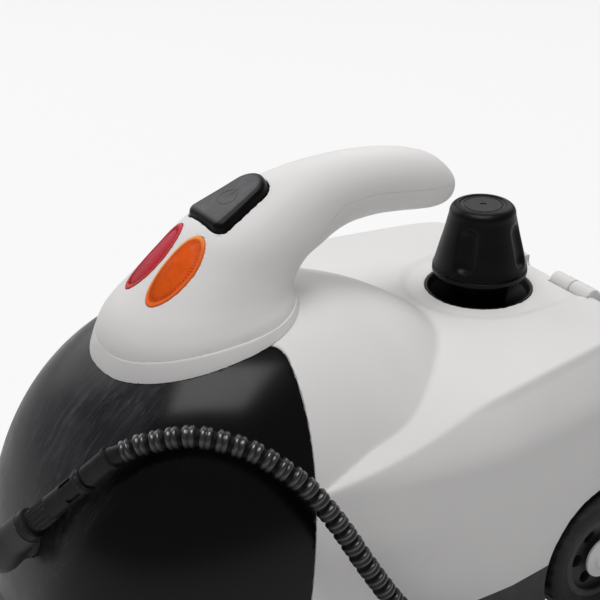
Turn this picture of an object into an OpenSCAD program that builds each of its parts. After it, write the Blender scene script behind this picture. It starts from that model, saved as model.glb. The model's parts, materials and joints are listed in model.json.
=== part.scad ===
// Canister wallpaper steamer: white casing, black hood, swan-neck handle, steam hose and gun.
// Row frame: floor at Z = 0, front towards -Y, X across, origin under the middle of the machine.
// Most pieces are drawn in the deck frame, whose origin is the filler axis at deck height.

/* [Casing] */
// Height of the flat deck above the floor
deck_h = 165; // [155:1:185]
// Greatest width of the rear casing
casing_w = 262; // [250:1:290]
// Wall of the casing, the hood and the handle
wall = 2.5; // [2:0.1:3.5]
// Height above the floor at which the casing meets the base tray
split_h = 52; // [48:1:60]
// Height of the underside of the base tray above the floor
tray_h = 20; // [18:1:26]
// Gap between the black hood and the white casing
seam_gap = 0.5; // [0.2:0.1:1.5]

/* [Dome] */
// Width of the dome that forms the hood and the scoop
dome_w = 242; // [230:1:250]
// Length of the dome
dome_l = 306; // [290:1:330]
// Height of the crown of the dome above the deck
dome_rise = 38; // [32:1:42]

/* [Handle] */
// Height of the collar under the front of the handle
collar_h = 7.5; // [5:0.5:12]
// Height of the collar under the rear of the handle
collar_back = 3.5; // [2:0.5:8]
// How far the collar stands out past the handle
collar_lip = 1; // [0.5:0.1:2.5]

/* [Button and lamps] */
// Length of the on/off button
button_l = 40; // [34:1:46]
// Width of the button at its front end
button_w = 31; // [24:1:34]
// Height of the button above the handle
button_rise = 7; // [5:0.5:9]
// Travel of the button when it is pressed
button_travel = 2.5; // [1.5:0.1:4]
// Length of each indicator lens
lens_l = 45; // [36:1:48]
// Width of each indicator lens
lens_w = 19; // [14:0.5:20]

/* [Filler and cap] */
// Diameter of the filler hole in the deck
filler_d = 66; // [62:1:70]
// Diameter of the grip of the safety cap
cap_d = 57.6; // [50:0.2:60]
// Height of the grip of the safety cap
cap_h = 43.5; // [32:1:46]
// Clearance from the deck up to the lip of the cap
cap_gap = 9; // [8:0.5:18]
// Number of finger grooves round the cap
cap_grooves = 4; // [3:1:8]
// Bore of the boiler neck
neck_bore = 26; // [20:1:30]

/* [Boiler] */
// Outside diameter of the boiler
boiler_d = 144; // [130:1:150]
// Height of the boiler
boiler_h = 78; // [70:1:82]
// Thickness of the boiler sheet
boiler_sheet = 2; // [1.5:0.1:3]

/* [Running gear] */
// Diameter of the rear tyres
tyre_d = 80; // [72:1:84]
// Width of the rear tyres
tyre_w = 22; // [18:1:24]
// Diameter of the rear axle
axle_d = 8; // [6:0.5:9]
// Diameter of the front caster wheel
caster_d = 34; // [30:1:36]
// Radial running clearance of wheels on axles
run_gap = 0.06; // [0.02:0.01:0.1]

/* [Steam hose] */
// Outside diameter of the corrugated hose
hose_d = 11.5; // [10:0.5:12.5]
// Bore of the hose
hose_bore = 6; // [4:0.5:8]
// Depth of the hose grooves
rib_depth = 1.3; // [0.8:0.1:2]
// Distance between neighbouring ribs
rib_pitch = 8.1; // [7.5:0.1:10]

/* [Hidden] */

$fn = 48;
white = [0.87, 0.86, 0.85];
black = [0.05, 0.05, 0.06];
charcoal = [0.2, 0.2, 0.21];
steel = [0.72, 0.73, 0.75];
brass = [0.78, 0.62, 0.28];

// Small distance by which cutting shapes overrun what they cut
over = 1;
// Gap between pieces that rest on each other along a curved face
seat = 0.25;

// ---- places in the deck frame -------------------------------------------------------------
floor_z = -deck_h;
tray_z = tray_h - deck_h;
split_z = split_h - deck_h;
// Lowest level of the casing and dome forms, below the tray
form_z = tray_z - 7;
// Widest line of the casing
waist_y = -75;
// Middle of the dome, and the height of its widest line
dome_y = -163;
dome_c = 190;
dome_z = dome_rise - dome_c;
dome_p = 2.5;
// Seam between hood and casing: y = seam_y + seam_lean * z
seam_y = -180;
seam_lean = 0.22;
// Start and steepness of the fall of the deck towards the front
fall_y = -72;
fall_slope = 0.36;
fall_soft = 40;
// Middle of the boiler, which stands clear above the rear axle
boiler_y = -35;
boiler_z = tyre_d / 2 + axle_d / 2 + 10 - deck_h;
// Rear wheels
wheel_y = -2;
wheel_z = tyre_d / 2 - deck_h;
well_r = tyre_d / 2 + 5;
well_x = 103;
// Front caster
caster_y = -262;
caster_trail = 12;
// Elbow at the front, where the hose leaves, and the direction in which it leaves
elbow_p = [14, -322, -62];
hose_dir = [0.49, 0.51, 0.71] / norm([0.49, 0.51, 0.71]);
elbow_r = 13;
// Steam gun in its holder at the back
gun_y = 86;
gun_z = 105 - deck_h;
barrel_r = 18;
holder_reach = gun_y + barrel_r + 3;
// Row-frame place of the filler axis, which centres the machine on the origin
filler_y = -(elbow_p[1] - elbow_r + holder_reach) / 2;

// ---- helpers --------------------------------------------------------------------------------
module deck_frame() { translate([0, filler_y, deck_h]) children(); }

module both_sides() {
    children();
    mirror([1, 0, 0]) children();
}

// Extrudes a Y-Z outline along X
module along_x(points, width) {
    rotate([90, 0, 90]) linear_extrude(width, center = true) polygon(points);
}

// Turns +Z to a direction
module aim(dir) {
    rotate([0, acos(dir[2] / norm(dir)), atan2(dir[1], dir[0])]) children();
}

// Cylinder along Y from y0 to y1
module rod_y(r, y0, y1) { translate([0, y0, 0]) rotate([-90, 0, 0]) cylinder(r = r, h = y1 - y0); }

// Cylinder along X from x0 to x1
module rod_x(r, x0, x1) { translate([x0, 0, 0]) rotate([0, 90, 0]) cylinder(r = r, h = x1 - x0); }

// Cylinder along Z from z0 to z1
module cylinder_span(r, z0, z1) { translate([0, 0, z0]) cylinder(r = r, h = z1 - z0); }

function curl(v, p) = sign(v) * pow(abs(v), 2 / p);

// Catmull-Rom curve through a list of points, with `steps` pieces in each span
function spline_at(p, i, t) =
    let (n = len(p) - 1, a = p[max(i - 1, 0)], b = p[i], c = p[min(i + 1, n)], d = p[min(i + 2, n)])
    0.5 * (2 * b + (c - a) * t + (2 * a - 5 * b + 4 * c - d) * t * t
        + (3 * b - a - 3 * c + d) * t * t * t);
function spline(p, steps) =
    concat([for (i = [0 : len(p) - 2], k = [0 : steps - 1]) spline_at(p, i, k / steps)],
        [p[len(p) - 1]]);

// Closed skin over rings of equal count, each running anticlockwise about the way they advance
module skin(rings) {
    n = len(rings[0]);
    m = len(rings);
    points = [for (r = rings) each r];
    sides = [for (i = [0 : m - 2], k = [0 : n - 1])
        let (a = i * n + k, b = i * n + (k + 1) % n)
        each [[a, b + n, b], [a, a + n, b + n]]];
    first = [[for (k = [0 : n - 1]) k]];
    last = [[for (k = [n - 1 : -1 : 0]) (m - 1) * n + k]];
    polyhedron(points, concat(sides, first, last), convexity = 8);
}

// ---- dome and casing forms ------------------------------------------------------------------
// Behind its middle the dome grows flatter flanks and runs down to the deck as a soft ridge
ridge_flare = 31;
ridge_l = 185;
ridge_start = 10;
ridge_blend = 50;

function ease(t) = let (u = min(max(t, 0), 1)) u * u * (3 - 2 * u);

// Section of the dome at dy from its middle: half width, height and exponent
function dome_section(dy, grow) =
    let (w = ease((dy - ridge_start) / ridge_blend),
        front = pow(max(1 - pow(abs(dy) / (dome_l / 2 + grow), dome_p), 0), 1 / dome_p),
        back = sqrt(max(1 - pow(dy / (ridge_l + grow), 2), 0)),
        s = front * (1 - w) + back * w)
    [(dome_w / 2 + grow + ridge_flare * w) * s, (dome_c + grow) * s, dome_p * (1 - w) + 2 * w];

// The low flanks stop at the width of the dome, inside the casing, and reach below the tray
function dome_ring(dy, grow, points = 26) =
    let (q = dome_section(dy, grow), side = dome_w / 2 + grow)
    [for (k = [0 : points])
        let (t = 180 * k / points, x = q[0] * curl(cos(t), q[2]), z = dome_z + q[1] * curl(sin(t), q[2]))
        [min(max(x, -side), side), dome_y + dy, k == 0 || k == points ? min(z, form_z) : z]];

// grow may change from the nose to the rear
module dome(grow = 0, rear_grow = undef) {
    nose = dome_l / 2 + grow;
    rear = is_undef(rear_grow) ? grow : rear_grow;
    stations = concat(
        [for (t = [89.6, 86, 81, 75, 68, 60, 51, 41, 30, 18, 6]) -nose * curl(sin(t), dome_p)],
        [for (dy = [ridge_start : 10 : 130]) dy]);
    skin([for (i = [len(stations) - 1 : -1 : 0])
        dome_ring(stations[i], grow + (rear - grow) * ease((stations[i] + 90) / 110))]);
}

// Levels of the casing: height, half width less half of casing_w, length behind the waist,
// and how quickly the sides draw in towards the front and towards the rear
casing_levels = [
    [form_z, -1, 128, 0.0008, 0.0008],
    [-100, 0, 129, 0.0009, 0.0008],
    [-60, 0, 129, 0.0015, 0.0009],
    [-25, -1.5, 127, 0.00235, 0.0012],
    [-12, -9, 123.5, 0.0024, 0.0014],
    [0, -19, 120, 0.0024, 0.0015]
];
rear_corner = 12;
front_reach = 165;

function casing_ring(level, grow) =
    let (a = casing_w / 2 + level[1] + grow, rear = level[2] + grow,
        back = [for (t = [0 : 9 : 81])
            let (dy = rear * pow(sin(t), 2 / rear_corner))
            [a * pow(cos(t), 2 / rear_corner) * (1 - level[4] * dy), dy]],
        end = [[0, rear]],
        fore = [for (dy = [front_reach : -27.5 : 20]) [a - level[3] * dy * dy, -dy]],
        half = concat(fore, back))
    concat([for (q = half) [q[0], waist_y + q[1], level[0]]],
        [for (q = end) [0, waist_y + q[1], level[0]]],
        [for (i = [len(half) - 1 : -1 : 0]) [-half[i][0], waist_y + half[i][1], level[0]]]);

function fall(y) = let (d = max(fall_y - y, 0)) fall_slope * d * d / (d + fall_soft);

module casing_form(grow = 0) {
    line = [for (y = [-250 : 10 : fall_y]) [y, -fall(y) + grow]];
    intersection() {
        skin([for (l = casing_levels) casing_ring(l, grow)]);
        along_x(concat([[-250, -300]], line, [[100, grow], [100, -300]]), 400);
    }
}

// Everything behind the seam, moved back by gap
module behind_seam(gap) {
    top = 80;
    low = -200;
    along_x([[seam_y + seam_lean * low + gap, low], [120, low], [120, top],
        [seam_y + seam_lean * top + gap, top]], 400);
}

// Everything in front of the seam, moved forward by gap
module before_seam(gap) {
    top = 80;
    low = -200;
    along_x([[-400, low], [seam_y + seam_lean * low - gap, low], [seam_y + seam_lean * top - gap, top],
        [-400, top]], 400);
}

module wheel_wells(gap = 0) {
    both_sides() translate([0, wheel_y, wheel_z]) rod_x(well_r + gap, well_x - gap, casing_w);
}

// ---- casing pieces --------------------------------------------------------------------------
recess_depth = 1.5;
recess_r = 48;

// Height of the tray floor's upper face, and the screws' posts beside the walls
tray_floor = 3;
post_r = 5.5;
screw_r = 2;
screw_head_r = 3.8;
casing_posts = [[123, -63], [60, 47], [-60, 47], [-123, -63]];
hood_posts = [[100, -250], [-100, -250]];

// Rear lugs that hook over the edge of the deck
lug_y = 46.5;
lug_z = -2;
lug_r = 5.5;
lug_gap = 0.4;
lug_spans = [[18, 34.5], [35, 51.5]];

module screw_posts(places, z0, z1, bore) {
    for (p = places) translate([p[0], p[1], z0]) difference() {
        cylinder(r = post_r, h = z1 - z0);
        translate([0, 0, -over]) cylinder(r = bore, h = z1 - z0 + 2 * over);
    }
}

module lug_pockets() {
    x0 = lug_spans[0][0] - lug_gap;
    x1 = lug_spans[1][1] + lug_gap;
    both_sides() translate([0, lug_y, lug_z]) {
        rod_x(lug_r + lug_gap, x0, x1);
        translate([x0, 0, 0]) cube([x1 - x0, 20, 10]);
    }
}

module rear_casing() {
    color(white) deck_frame() {
        intersection() {
            difference() {
                union() {
                    casing_form();
                    dome();
                }
                difference() {
                    union() {
                        casing_form(-wall);
                        dome(-wall);
                    }
                    translate([0, 0, -recess_depth - wall]) {
                        cylinder(r = recess_r + wall, h = 20);
                        translate([-recess_r - wall, 0, 0]) cube([2 * (recess_r + wall), 80, 20]);
                    }
                    screw_posts(casing_posts, split_z, split_z + 15, screw_r);
                }
                translate([0, 0, -recess_depth]) {
                    cylinder(r = recess_r, h = 20);
                    translate([-recess_r, 0, 0]) cube([2 * recess_r, 80, 20]);
                }
                translate([0, 0, -20]) cylinder(d = filler_d, h = 40);
                lug_pockets();
                wheel_wells();
            }
            behind_seam(seam_gap / 2);
            translate([-200, -300, split_z]) cube([400, 400, 200]);
        }
    }
}

// Boss and hole in the hood for the hose socket
socket_r = 9;
socket_gap = 0.4;
socket_boss_y = -290;
socket_face_y = elbow_p[1] + elbow_r;

module front_hood() {
    color(black) deck_frame() intersection() {
        difference() {
            dome();
            difference() {
                dome(-wall);
                translate([elbow_p[0], 0, elbow_p[2]]) rod_y(14, -320, socket_boss_y);
                screw_posts(hood_posts, split_z, split_z + 15, screw_r);
            }
            translate([elbow_p[0], 0, elbow_p[2]]) rod_y(socket_r + socket_gap, -340, socket_boss_y + over);
        }
        before_seam(seam_gap / 2);
        translate([-200, -400, split_z]) cube([400, 400, 200]);
    }
}

// ---- base tray ----------------------------------------------------------------------------------
liner = 2.5;
axle_boss_r = 10;
caster_well_r = caster_trail + caster_d / 2 + 3;
caster_roof = caster_d + 6 - deck_h;
stem_r = 5;
stem_top = split_z - 1;

module tray_outline(grow) {
    casing_form(grow);
    dome(grow);
}

module well_liners(grow) {
    intersection() {
        both_sides() translate([0, wheel_y, wheel_z]) difference() {
            rod_x(well_r + liner, well_x - liner, 140);
            rod_x(well_r, well_x, 150);
        }
        casing_form(grow);
    }
}

module base_tray() {
    gland = [gland_x, 0, gland_z];
    color(charcoal) deck_frame() difference() {
        union() {
            intersection() {
                difference() {
                    tray_outline(0);
                    difference() {
                        tray_outline(-wall);
                        translate([-200, -400, tray_z - over]) cube([400, 500, tray_floor + over]);
                    }
                    wheel_wells();
                }
                translate([-200, -400, tray_z]) cube([400, 500, split_z - tray_z]);
            }
            intersection() {
                well_liners(0);
                translate([-200, -200, tray_z]) cube([400, 400, split_z - tray_z]);
            }
            intersection() {
                well_liners(-wall - seat);
                translate([-200, -200, split_z - over]) cube([400, 400, 100]);
            }
            both_sides() translate([0, wheel_y, wheel_z]) rod_x(axle_boss_r, well_x - 12, well_x);
            translate([0, caster_y, 0]) {
                cylinder_span(caster_well_r + liner, tray_z, caster_roof + liner);
                cylinder_span(stem_r + 4, caster_roof, stem_top + 1);
            }
            screw_posts(concat(casing_posts, hood_posts), tray_z + over, split_z, screw_r);
        }
        both_sides() translate([0, wheel_y, wheel_z]) rod_x(axle_d / 2 + run_gap, 50, 150);
        translate([0, caster_y, 0]) {
            cylinder_span(caster_well_r, tray_z - over, caster_roof);
            cylinder_span(stem_r + run_gap, caster_roof - over, 0);
        }
        for (p = concat(casing_posts, hood_posts)) translate([p[0], p[1], 0]) {
            cylinder_span(screw_r, tray_z - over, split_z + over);
            cylinder_span(screw_head_r, tray_z - over, tray_z + 6);
        }
        translate(gland) rod_y(gland_neck_r + 0.3, 40, 60);
    }
}

module case_screws() {
    color(steel) deck_frame() for (p = concat(casing_posts, hood_posts)) translate([p[0], p[1], 0]) {
        difference() {
            cylinder_span(screw_head_r - 0.3, tray_z + 3, tray_z + 6);
            translate([0, 0, tray_z + 3]) cube([1, 5, 2], center = true);
            translate([0, 0, tray_z + 3]) cube([5, 1, 2], center = true);
        }
        cylinder_span(screw_r - 0.1, tray_z + 6, split_z + 12);
    }
}

// ---- handle -------------------------------------------------------------------------------------
// Stations up the handle: front or top edge y, z; rear or under edge y, z; half width
handle_stations = [
    [-253, 4, -139, 22, 50.5], [-252.5, 16, -141, 34, 49.5], [-249, 32, -142.5, 42, 46],
    [-242, 43, -143, 46, 42], [-230, 54, -141, 50, 38], [-213, 69, -137, 54, 34],
    [-196, 83.5, -131, 58, 31], [-176, 92.5, -122.5, 61, 28], [-152, 100, -113.5, 64, 24],
    [-130, 104, -104, 66, 21], [-110, 105, -95, 66.5, 19.5], [-91, 104.5, -84, 66.5, 19],
    [-72, 102, -70, 65, 18.5], [-55, 98, -57, 63, 17.8], [-42, 92.5, -45, 61.5, 16],
    [-34, 86, -36.5, 62.5, 13.5], [-29, 80, -30.5, 66, 9], [-26.5, 74, -27, 71, 3]
];
handle_p = 2.2;
handle_sides = 24;

function handle_ring(s, grow) =
    let (c = [s[0] + s[2], s[1] + s[3]] / 2, h = [s[0] - s[2], s[1] - s[3]] / 2,
        g = h * (norm(h) + grow) / norm(h))
    [for (k = [0 : handle_sides - 1])
        let (t = 360 * k / handle_sides, q = c + g * curl(sin(t), handle_p))
        [-(s[4] + grow) * curl(cos(t), handle_p), q[0], q[1]]];

module handle_form(grow = 0) {
    line = spline(handle_stations, 2);
    skin([for (s = line) if (s[4] + grow > 3.5 || grow >= 0) handle_ring(s, grow)]);
}

// Line on which the two halves of the handle part, from the tip down to the rear foot
part_line = [[-10, 72.5], [-22, 72.5], [-40, 77], [-60, 80], [-91, 85], [-115, 84], [-130, 74], [-142, 58],
    [-148, 44], [-150, 30], [-150, -10]];

module above_part_line() {
    along_x(concat(part_line, [[-300, -10], [-300, 150], [-10, 150]]), 140);
}

module below_part_line() {
    along_x(concat(part_line, [[60, -10], [60, 72.5]]), 140);
}

module handle_shell() {
    difference() {
        handle_form();
        handle_form(-wall);
        dome(collar_h, collar_back);
    }
}

module handle_collar() {
    color(white) deck_frame() difference() {
        intersection() {
            handle_form(collar_lip);
            dome(collar_h, collar_back);
        }
        handle_form(-wall);
        dome(seat);
    }
}

// Button on the slope of the handle
button_y = -189;
button_z = 82;
button_slope = 20.7;
button_sink = 4;
button_gap = 0.4;
button_corner = 4;
button_nose_r = 11.5;
skirt = 1.8;
skirt_depth = 9;

module button_frame() {
    translate([0, button_y, button_z]) rotate([button_slope, 0, 0]) children();
}

// Outline with a square front edge and a round rear end
function button_outline(grow) =
    let (c = button_w / 2 - button_corner, tail = button_l - button_nose_r)
    concat([for (t = [-90 : 15 : 0])
            [c + (button_corner + grow) * cos(t), button_corner + (button_corner + grow) * sin(t)]],
        [for (t = [8 : 12 : 172]) [(button_nose_r + grow) * cos(t), tail + (button_nose_r + grow) * sin(t)]],
        [for (t = [180 : 15 : 270])
            [-c + (button_corner + grow) * cos(t), button_corner + (button_corner + grow) * sin(t)]]);

module button_prism(grow, z0, z1) {
    translate([0, 0, z0]) linear_extrude(z1 - z0) polygon(button_outline(grow));
}

module power_button() {
    color(black) deck_frame() button_frame() difference() {
        union() {
            button_prism(0, -button_sink, button_rise - 1.2);
            for (k = [1 : 4]) button_prism(-0.4 * k * k / 4, button_rise - 1.2, button_rise - 1.2 + 0.3 * k);
        }
        translate([0, button_l * 0.52, button_rise - 0.4]) difference() {
            cylinder(r = 6.2, h = 2);
            cylinder(r = 5, h = 2);
            translate([-1.8, 2, 0]) cube([3.6, 6, 2]);
        }
    }
}

module power_switch() {
    flange = 2;
    top = -skirt_depth;
    color(charcoal) deck_frame() button_frame() {
        difference() {
            button_prism(skirt + button_gap, top - flange, top);
            translate([0, button_l / 2 + 11, top - flange - over]) cylinder(r = 1.5, h = 4);
            translate([0, 6, top - flange - over]) cylinder(r = 1.5, h = 4);
        }
        translate([0, button_l / 2, top - flange - 10]) difference() {
            translate([-10, -9, 0]) cube([20, 18, 10]);
            for (x = [-6, 6]) translate([x - 1, -10, -over]) cube([2, 20, 3]);
        }
        translate([0, button_l / 2, 0]) cylinder_span(4, top, -button_sink - button_travel - 0.3);
    }
}

// Indicator lenses on the front slope
lens_x = 11.4;
lens_y = -213.2;
lens_z = 66.15;
lens_tilt = 40.9;
lens_lean = 2.3;
lens_gap = 0.3;
lens_proud = 0.6;

module lens_frame(side) {
    translate([side * lens_x, lens_y, lens_z])
        rotate([lens_tilt, 0, 0]) rotate([0, 0, side * lens_lean]) children();
}

module lens_prism(side, grow) {
    a = lens_w / 2 + grow;
    b = lens_l / 2 + grow;
    lens_frame(side) translate([0, 0, -9]) linear_extrude(18)
        polygon([for (t = [0 : 15 : 345]) [a * cos(t), b * sin(t)]]);
}

module lens(side) {
    deck_frame() difference() {
        intersection() {
            handle_form(lens_proud);
            lens_prism(side, 0);
        }
        handle_form(-wall);
    }
}

module amber_lens() { color([0.82, 0.36, 0.16]) lens(1); }

module red_lens() { color([0.67, 0.25, 0.25]) lens(-1); }

peg_r = 2.5;
peg_depth = 9;

module lamp_pegs() {
    for (v = [-13, 13]) translate([0, lens_y, lens_z]) rotate([lens_tilt, 0, 0])
        translate([0, v, -peg_depth]) cylinder(r = peg_r, h = peg_depth);
}

module lamp_board() {
    color([0.16, 0.38, 0.22]) deck_frame() translate([0, lens_y, lens_z]) rotate([lens_tilt, 0, 0]) {
        translate([-16, -18, -peg_depth - 1.6]) cube([32, 36, 1.6]);
        for (x = [-9, 9]) translate([x, 0, -peg_depth]) cylinder(r = 2.5, h = 4);
        for (x = [-9, 9]) translate([x, 0, -peg_depth + 4]) sphere(r = 2.5);
        translate([-3.5, -17, -peg_depth - 7]) cube([7, 10, 5.4]);
    }
}

// Screws that hold the two halves of the grip together: y, height of the underside, of the part line
grip_screws = [[-58, 63.3, 79.8], [-98, 66.8, 84.8]];
grip_boss_r = 5;

module handle_upper() {
    color(white) deck_frame() difference() {
        union() {
            intersection() {
                handle_shell();
                above_part_line();
            }
            intersection() {
                handle_form(-wall / 2);
                union() {
                    button_frame() button_prism(skirt + button_gap, -skirt_depth, 12);
                    lamp_pegs();
                    for (s = grip_screws) translate([0, s[0], 0]) cylinder_span(grip_boss_r, s[2] + 0.6, 110);
                }
            }
        }
        button_frame() button_prism(button_gap, -skirt_depth - over, 30);
        lens_prism(1, lens_gap);
        lens_prism(-1, lens_gap);
        for (s = grip_screws) translate([0, s[0], 0]) cylinder_span(1.5, s[2] - over, s[2] + 13);
    }
}

module handle_lower() {
    color(white) deck_frame() difference() {
        union() {
            intersection() {
                handle_shell();
                below_part_line();
            }
            intersection() {
                handle_form(-wall / 2);
                for (s = grip_screws) translate([0, s[0], 0]) cylinder_span(grip_boss_r, 40, s[2] - 0.6);
            }
        }
        for (s = grip_screws) translate([0, s[0], 0]) {
            cylinder_span(1.8, 40, s[2] + 2);
            cylinder_span(3.8, 40, s[1] + 4.5);
        }
    }
}

module handle_screws() {
    color(steel) deck_frame() for (s = grip_screws) translate([0, s[0], 0]) {
        difference() {
            cylinder_span(3.5, s[1] + 1.7, s[1] + 4.5);
            translate([0, 0, s[1] + 1.7]) cube([1, 5, 2], center = true);
            translate([0, 0, s[1] + 1.7]) cube([5, 1, 2], center = true);
        }
        cylinder_span(1.45, s[1] + 4.5, s[2] + 11);
    }
}

// ---- filler, neck and safety cap -------------------------------------------------------------------
neck_r = neck_bore / 2 + 3;
neck_top = -12;
boiler_top = boiler_z + boiler_h;
seal_t = 2;
stem_z = neck_top + seal_t;
core_r = neck_bore / 2 - 0.3;
thread_pitch = 4;
funnel_t = 1.6;
funnel_low = -28;
funnel_r = filler_d / 2;
cap_r = cap_d / 2;
cap_top = cap_gap + cap_h;

module filler_funnel() {
    rim_z = -recess_depth;
    flange_z = rim_z - wall;
    throat = neck_r + 0.4;
    color(black) deck_frame() rotate_extrude() polygon([
        [funnel_r - 0.2 - funnel_t, rim_z], [funnel_r - 0.2, rim_z], [funnel_r - 0.2, flange_z],
        [funnel_r + 4, flange_z], [funnel_r + 4, flange_z - 2], [funnel_r - 1, flange_z - 2],
        [throat + 4, funnel_low + 2], [throat + funnel_t, funnel_low], [throat, funnel_low],
        [throat, funnel_low + 3], [funnel_r - 0.2 - 2 * funnel_t, flange_z - 2]
    ]);
}

groove_r = 9;
groove_depth = 1.6;
groove_turn = -60;
groove_tilt = atan(5.2 / 22);

module cap_grip() {
    color(black) deck_frame() difference() {
        rotate_extrude($fn = 96) polygon(concat(
            [[0, cap_top - 0.6], [cap_r - 14.6, cap_top - 0.6], [cap_r - 14.2, cap_top]],
            [for (t = [90 : -15 : 15]) [cap_r - 13.3 + 5 * cos(t), cap_top - 5.5 + 5.5 * sin(t)]],
            [[cap_r - 8.3, cap_top - 6.5], [cap_r - 5.7, cap_top - 18], [cap_r - 3.4, cap_top - 27.5],
                [cap_r - 1.8, cap_top - 34], [cap_r - 0.6, cap_top - 38.3], [cap_r, cap_top - 39.6],
                [cap_r, cap_gap + 0.6], [cap_r - 0.6, cap_gap], [cap_r - 2.6, cap_gap],
                [cap_r - 2.6, cap_gap + 5], [neck_r + 4, cap_gap + 5], [neck_r + 3.2, 4],
                [neck_r + 1, stem_z], [core_r, stem_z], [core_r, 12], [0, 12]]));
        for (k = [0 : cap_grooves - 1]) rotate([0, 0, groove_turn + 360 * k / cap_grooves])
            translate([cap_r - 2.6 - groove_depth + groove_r, 0, cap_top - 35])
                rotate([0, -groove_tilt, 0]) cylinder(r = groove_r, h = 28);
        translate([0, 0, cap_top - 1]) ring(12, 11.2, 2);
        translate([0, 0, cap_top - 1]) ring(2, 0, 2);
    }
}

module ring(r1, r2, h) {
    difference() {
        cylinder(r = r1, h = h);
        if (r2 > 0) translate([0, 0, -over]) cylinder(r = r2, h = h + 2 * over);
    }
}

module cap_core() {
    low = neck_top - 20;
    color(brass) deck_frame() difference() {
        cylinder_span(core_r, low, 12);
        cylinder_span(6, low - over, 2);
        for (z = [low + 2.5 : thread_pitch : neck_top - 3]) translate([0, 0, z])
            rotate_extrude() polygon([[core_r - 0.8, 0.6], [core_r + 1, -0.6], [core_r + 1, 1.8]]);
    }
}

module relief_valve() {
    color(steel) deck_frame() {
        cylinder_span(5.8, -4, 2);
        cylinder_span(3, -14, -4);
        cylinder_span(5, -17, -14);
    }
}

module cap_seal() {
    color([0.75, 0.3, 0.2]) deck_frame() difference() {
        cylinder_span(neck_r, neck_top, stem_z);
        cylinder_span(core_r + 0.3, neck_top - over, stem_z + over);
    }
}

// ---- boiler ------------------------------------------------------------------------------------
boiler_r = boiler_d / 2;
boiler_corner = 8;
boiler_mid = boiler_z + boiler_h / 2;
gasket_t = 1.5;
flange_out = 9;
bolt_n = 6;
bolt_r = 2.4;
pipe_r = 5;
pipe_bore = 3;
port_r = 8;
pipe_x = elbow_p[0];
pipe_z = elbow_p[2];
port_y = boiler_y - boiler_r - 2;

// Cup of the boiler, open towards its flange at Z = 0
module boiler_cup(height) {
    c = boiler_corner;
    s = boiler_sheet;
    rotate_extrude($fn = 96) polygon(concat([[0, height]],
        [for (t = [90 : -15 : 0]) [boiler_r - c + c * cos(t), height - c + c * sin(t)]],
        [[boiler_r, s], [boiler_r + flange_out, s], [boiler_r + flange_out, 0], [boiler_r - s, 0]],
        [for (t = [0 : 15 : 90]) [boiler_r - c + (c - s) * cos(t), height - c + (c - s) * sin(t)]],
        [[0, height - s]]));
}

module bolt_holes(z0, z1, r) {
    for (k = [0 : bolt_n - 1]) rotate([0, 0, 30 + 360 * k / bolt_n])
        translate([boiler_r + flange_out / 2, 0, 0]) cylinder_span(r, z0, z1);
}

module boiler_lower() {
    color(steel) deck_frame() translate([0, boiler_y, boiler_mid - gasket_t / 2]) difference() {
        mirror([0, 0, 1]) boiler_cup(boiler_h / 2 - gasket_t / 2);
        bolt_holes(-5, 5, bolt_r + 0.2);
    }
}

module boiler_upper() {
    color(steel) deck_frame() difference() {
        union() {
            translate([0, boiler_y, boiler_mid + gasket_t / 2]) boiler_cup(boiler_h / 2 - gasket_t / 2);
            translate([pipe_x, 0, pipe_z]) rod_y(port_r, port_y, boiler_y - boiler_r + 6);
        }
        translate([0, boiler_y, boiler_mid]) bolt_holes(-5, 5, bolt_r + 0.2);
        cylinder_span(neck_bore / 2, boiler_top - 10, boiler_top + over);
        translate([pipe_x, 0, pipe_z]) rod_y(pipe_bore, port_y - over, boiler_y - boiler_r + 12);
        translate([0, boiler_y, boiler_mid + gasket_t / 2])
            cylinder_span(boiler_r - boiler_sheet, -10, 0);
    }
}

module boiler_gasket() {
    color([0.25, 0.12, 0.1]) deck_frame() translate([0, boiler_y, boiler_mid - gasket_t / 2]) difference() {
        cylinder(r = boiler_r + flange_out, h = gasket_t, $fn = 96);
        cylinder_span(boiler_r - boiler_sheet, -over, gasket_t + over);
        bolt_holes(-over, gasket_t + over, bolt_r + 0.2);
    }
}

module boiler_bolts() {
    reach = gasket_t / 2 + boiler_sheet;
    color(steel) deck_frame() translate([0, boiler_y, boiler_mid]) for (k = [0 : bolt_n - 1])
        rotate([0, 0, 30 + 360 * k / bolt_n]) translate([boiler_r + flange_out / 2, 0, 0]) {
            cylinder_span(bolt_r, -reach - 5, reach);
            translate([0, 0, reach]) cylinder(r = 4.2, h = 3.4, $fn = 6);
            translate([0, 0, -reach - 3.6]) difference() {
                cylinder(r = 4.2, h = 3.6, $fn = 6);
                translate([0, 0, -over]) cylinder(r = bolt_r, h = 6);
            }
        }
}

module boiler_neck() {
    color(brass) deck_frame() difference() {
        union() {
            cylinder_span(neck_r, boiler_top, neck_top);
            cylinder_span(neck_r + 5, boiler_top, boiler_top + 2.5);
        }
        cylinder_span(neck_bore / 2, boiler_top - over, neck_top + over);
    }
}

leg_ring_r = 58;

module boiler_legs() {
    foot = tray_z + tray_floor;
    color(charcoal) deck_frame() translate([0, boiler_y, 0]) {
        difference() {
            cylinder_span(leg_ring_r + 5, foot, foot + 2);
            cylinder_span(leg_ring_r - 7, foot - over, foot + 2 + over);
        }
        for (t = [90, 210, 330]) rotate([0, 0, t]) translate([leg_ring_r, 0, 0])
            cylinder_span(4, foot + 2, boiler_z);
    }
}

heater_ring_r = 44;
heater_r = 3.5;

module heating_element() {
    z = boiler_z - heater_r - 0.2;
    color([0.35, 0.33, 0.32]) deck_frame() translate([0, boiler_y, z]) {
        rotate([0, 0, -75]) rotate_extrude(angle = 330)
            translate([heater_ring_r, 0]) circle(r = heater_r, $fn = 24);
        for (t = [-75, 255]) rotate([0, 0, t]) translate([heater_ring_r, 0, -heater_r - 5])
            cylinder(r = 2, h = heater_r + 5);
    }
}

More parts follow.
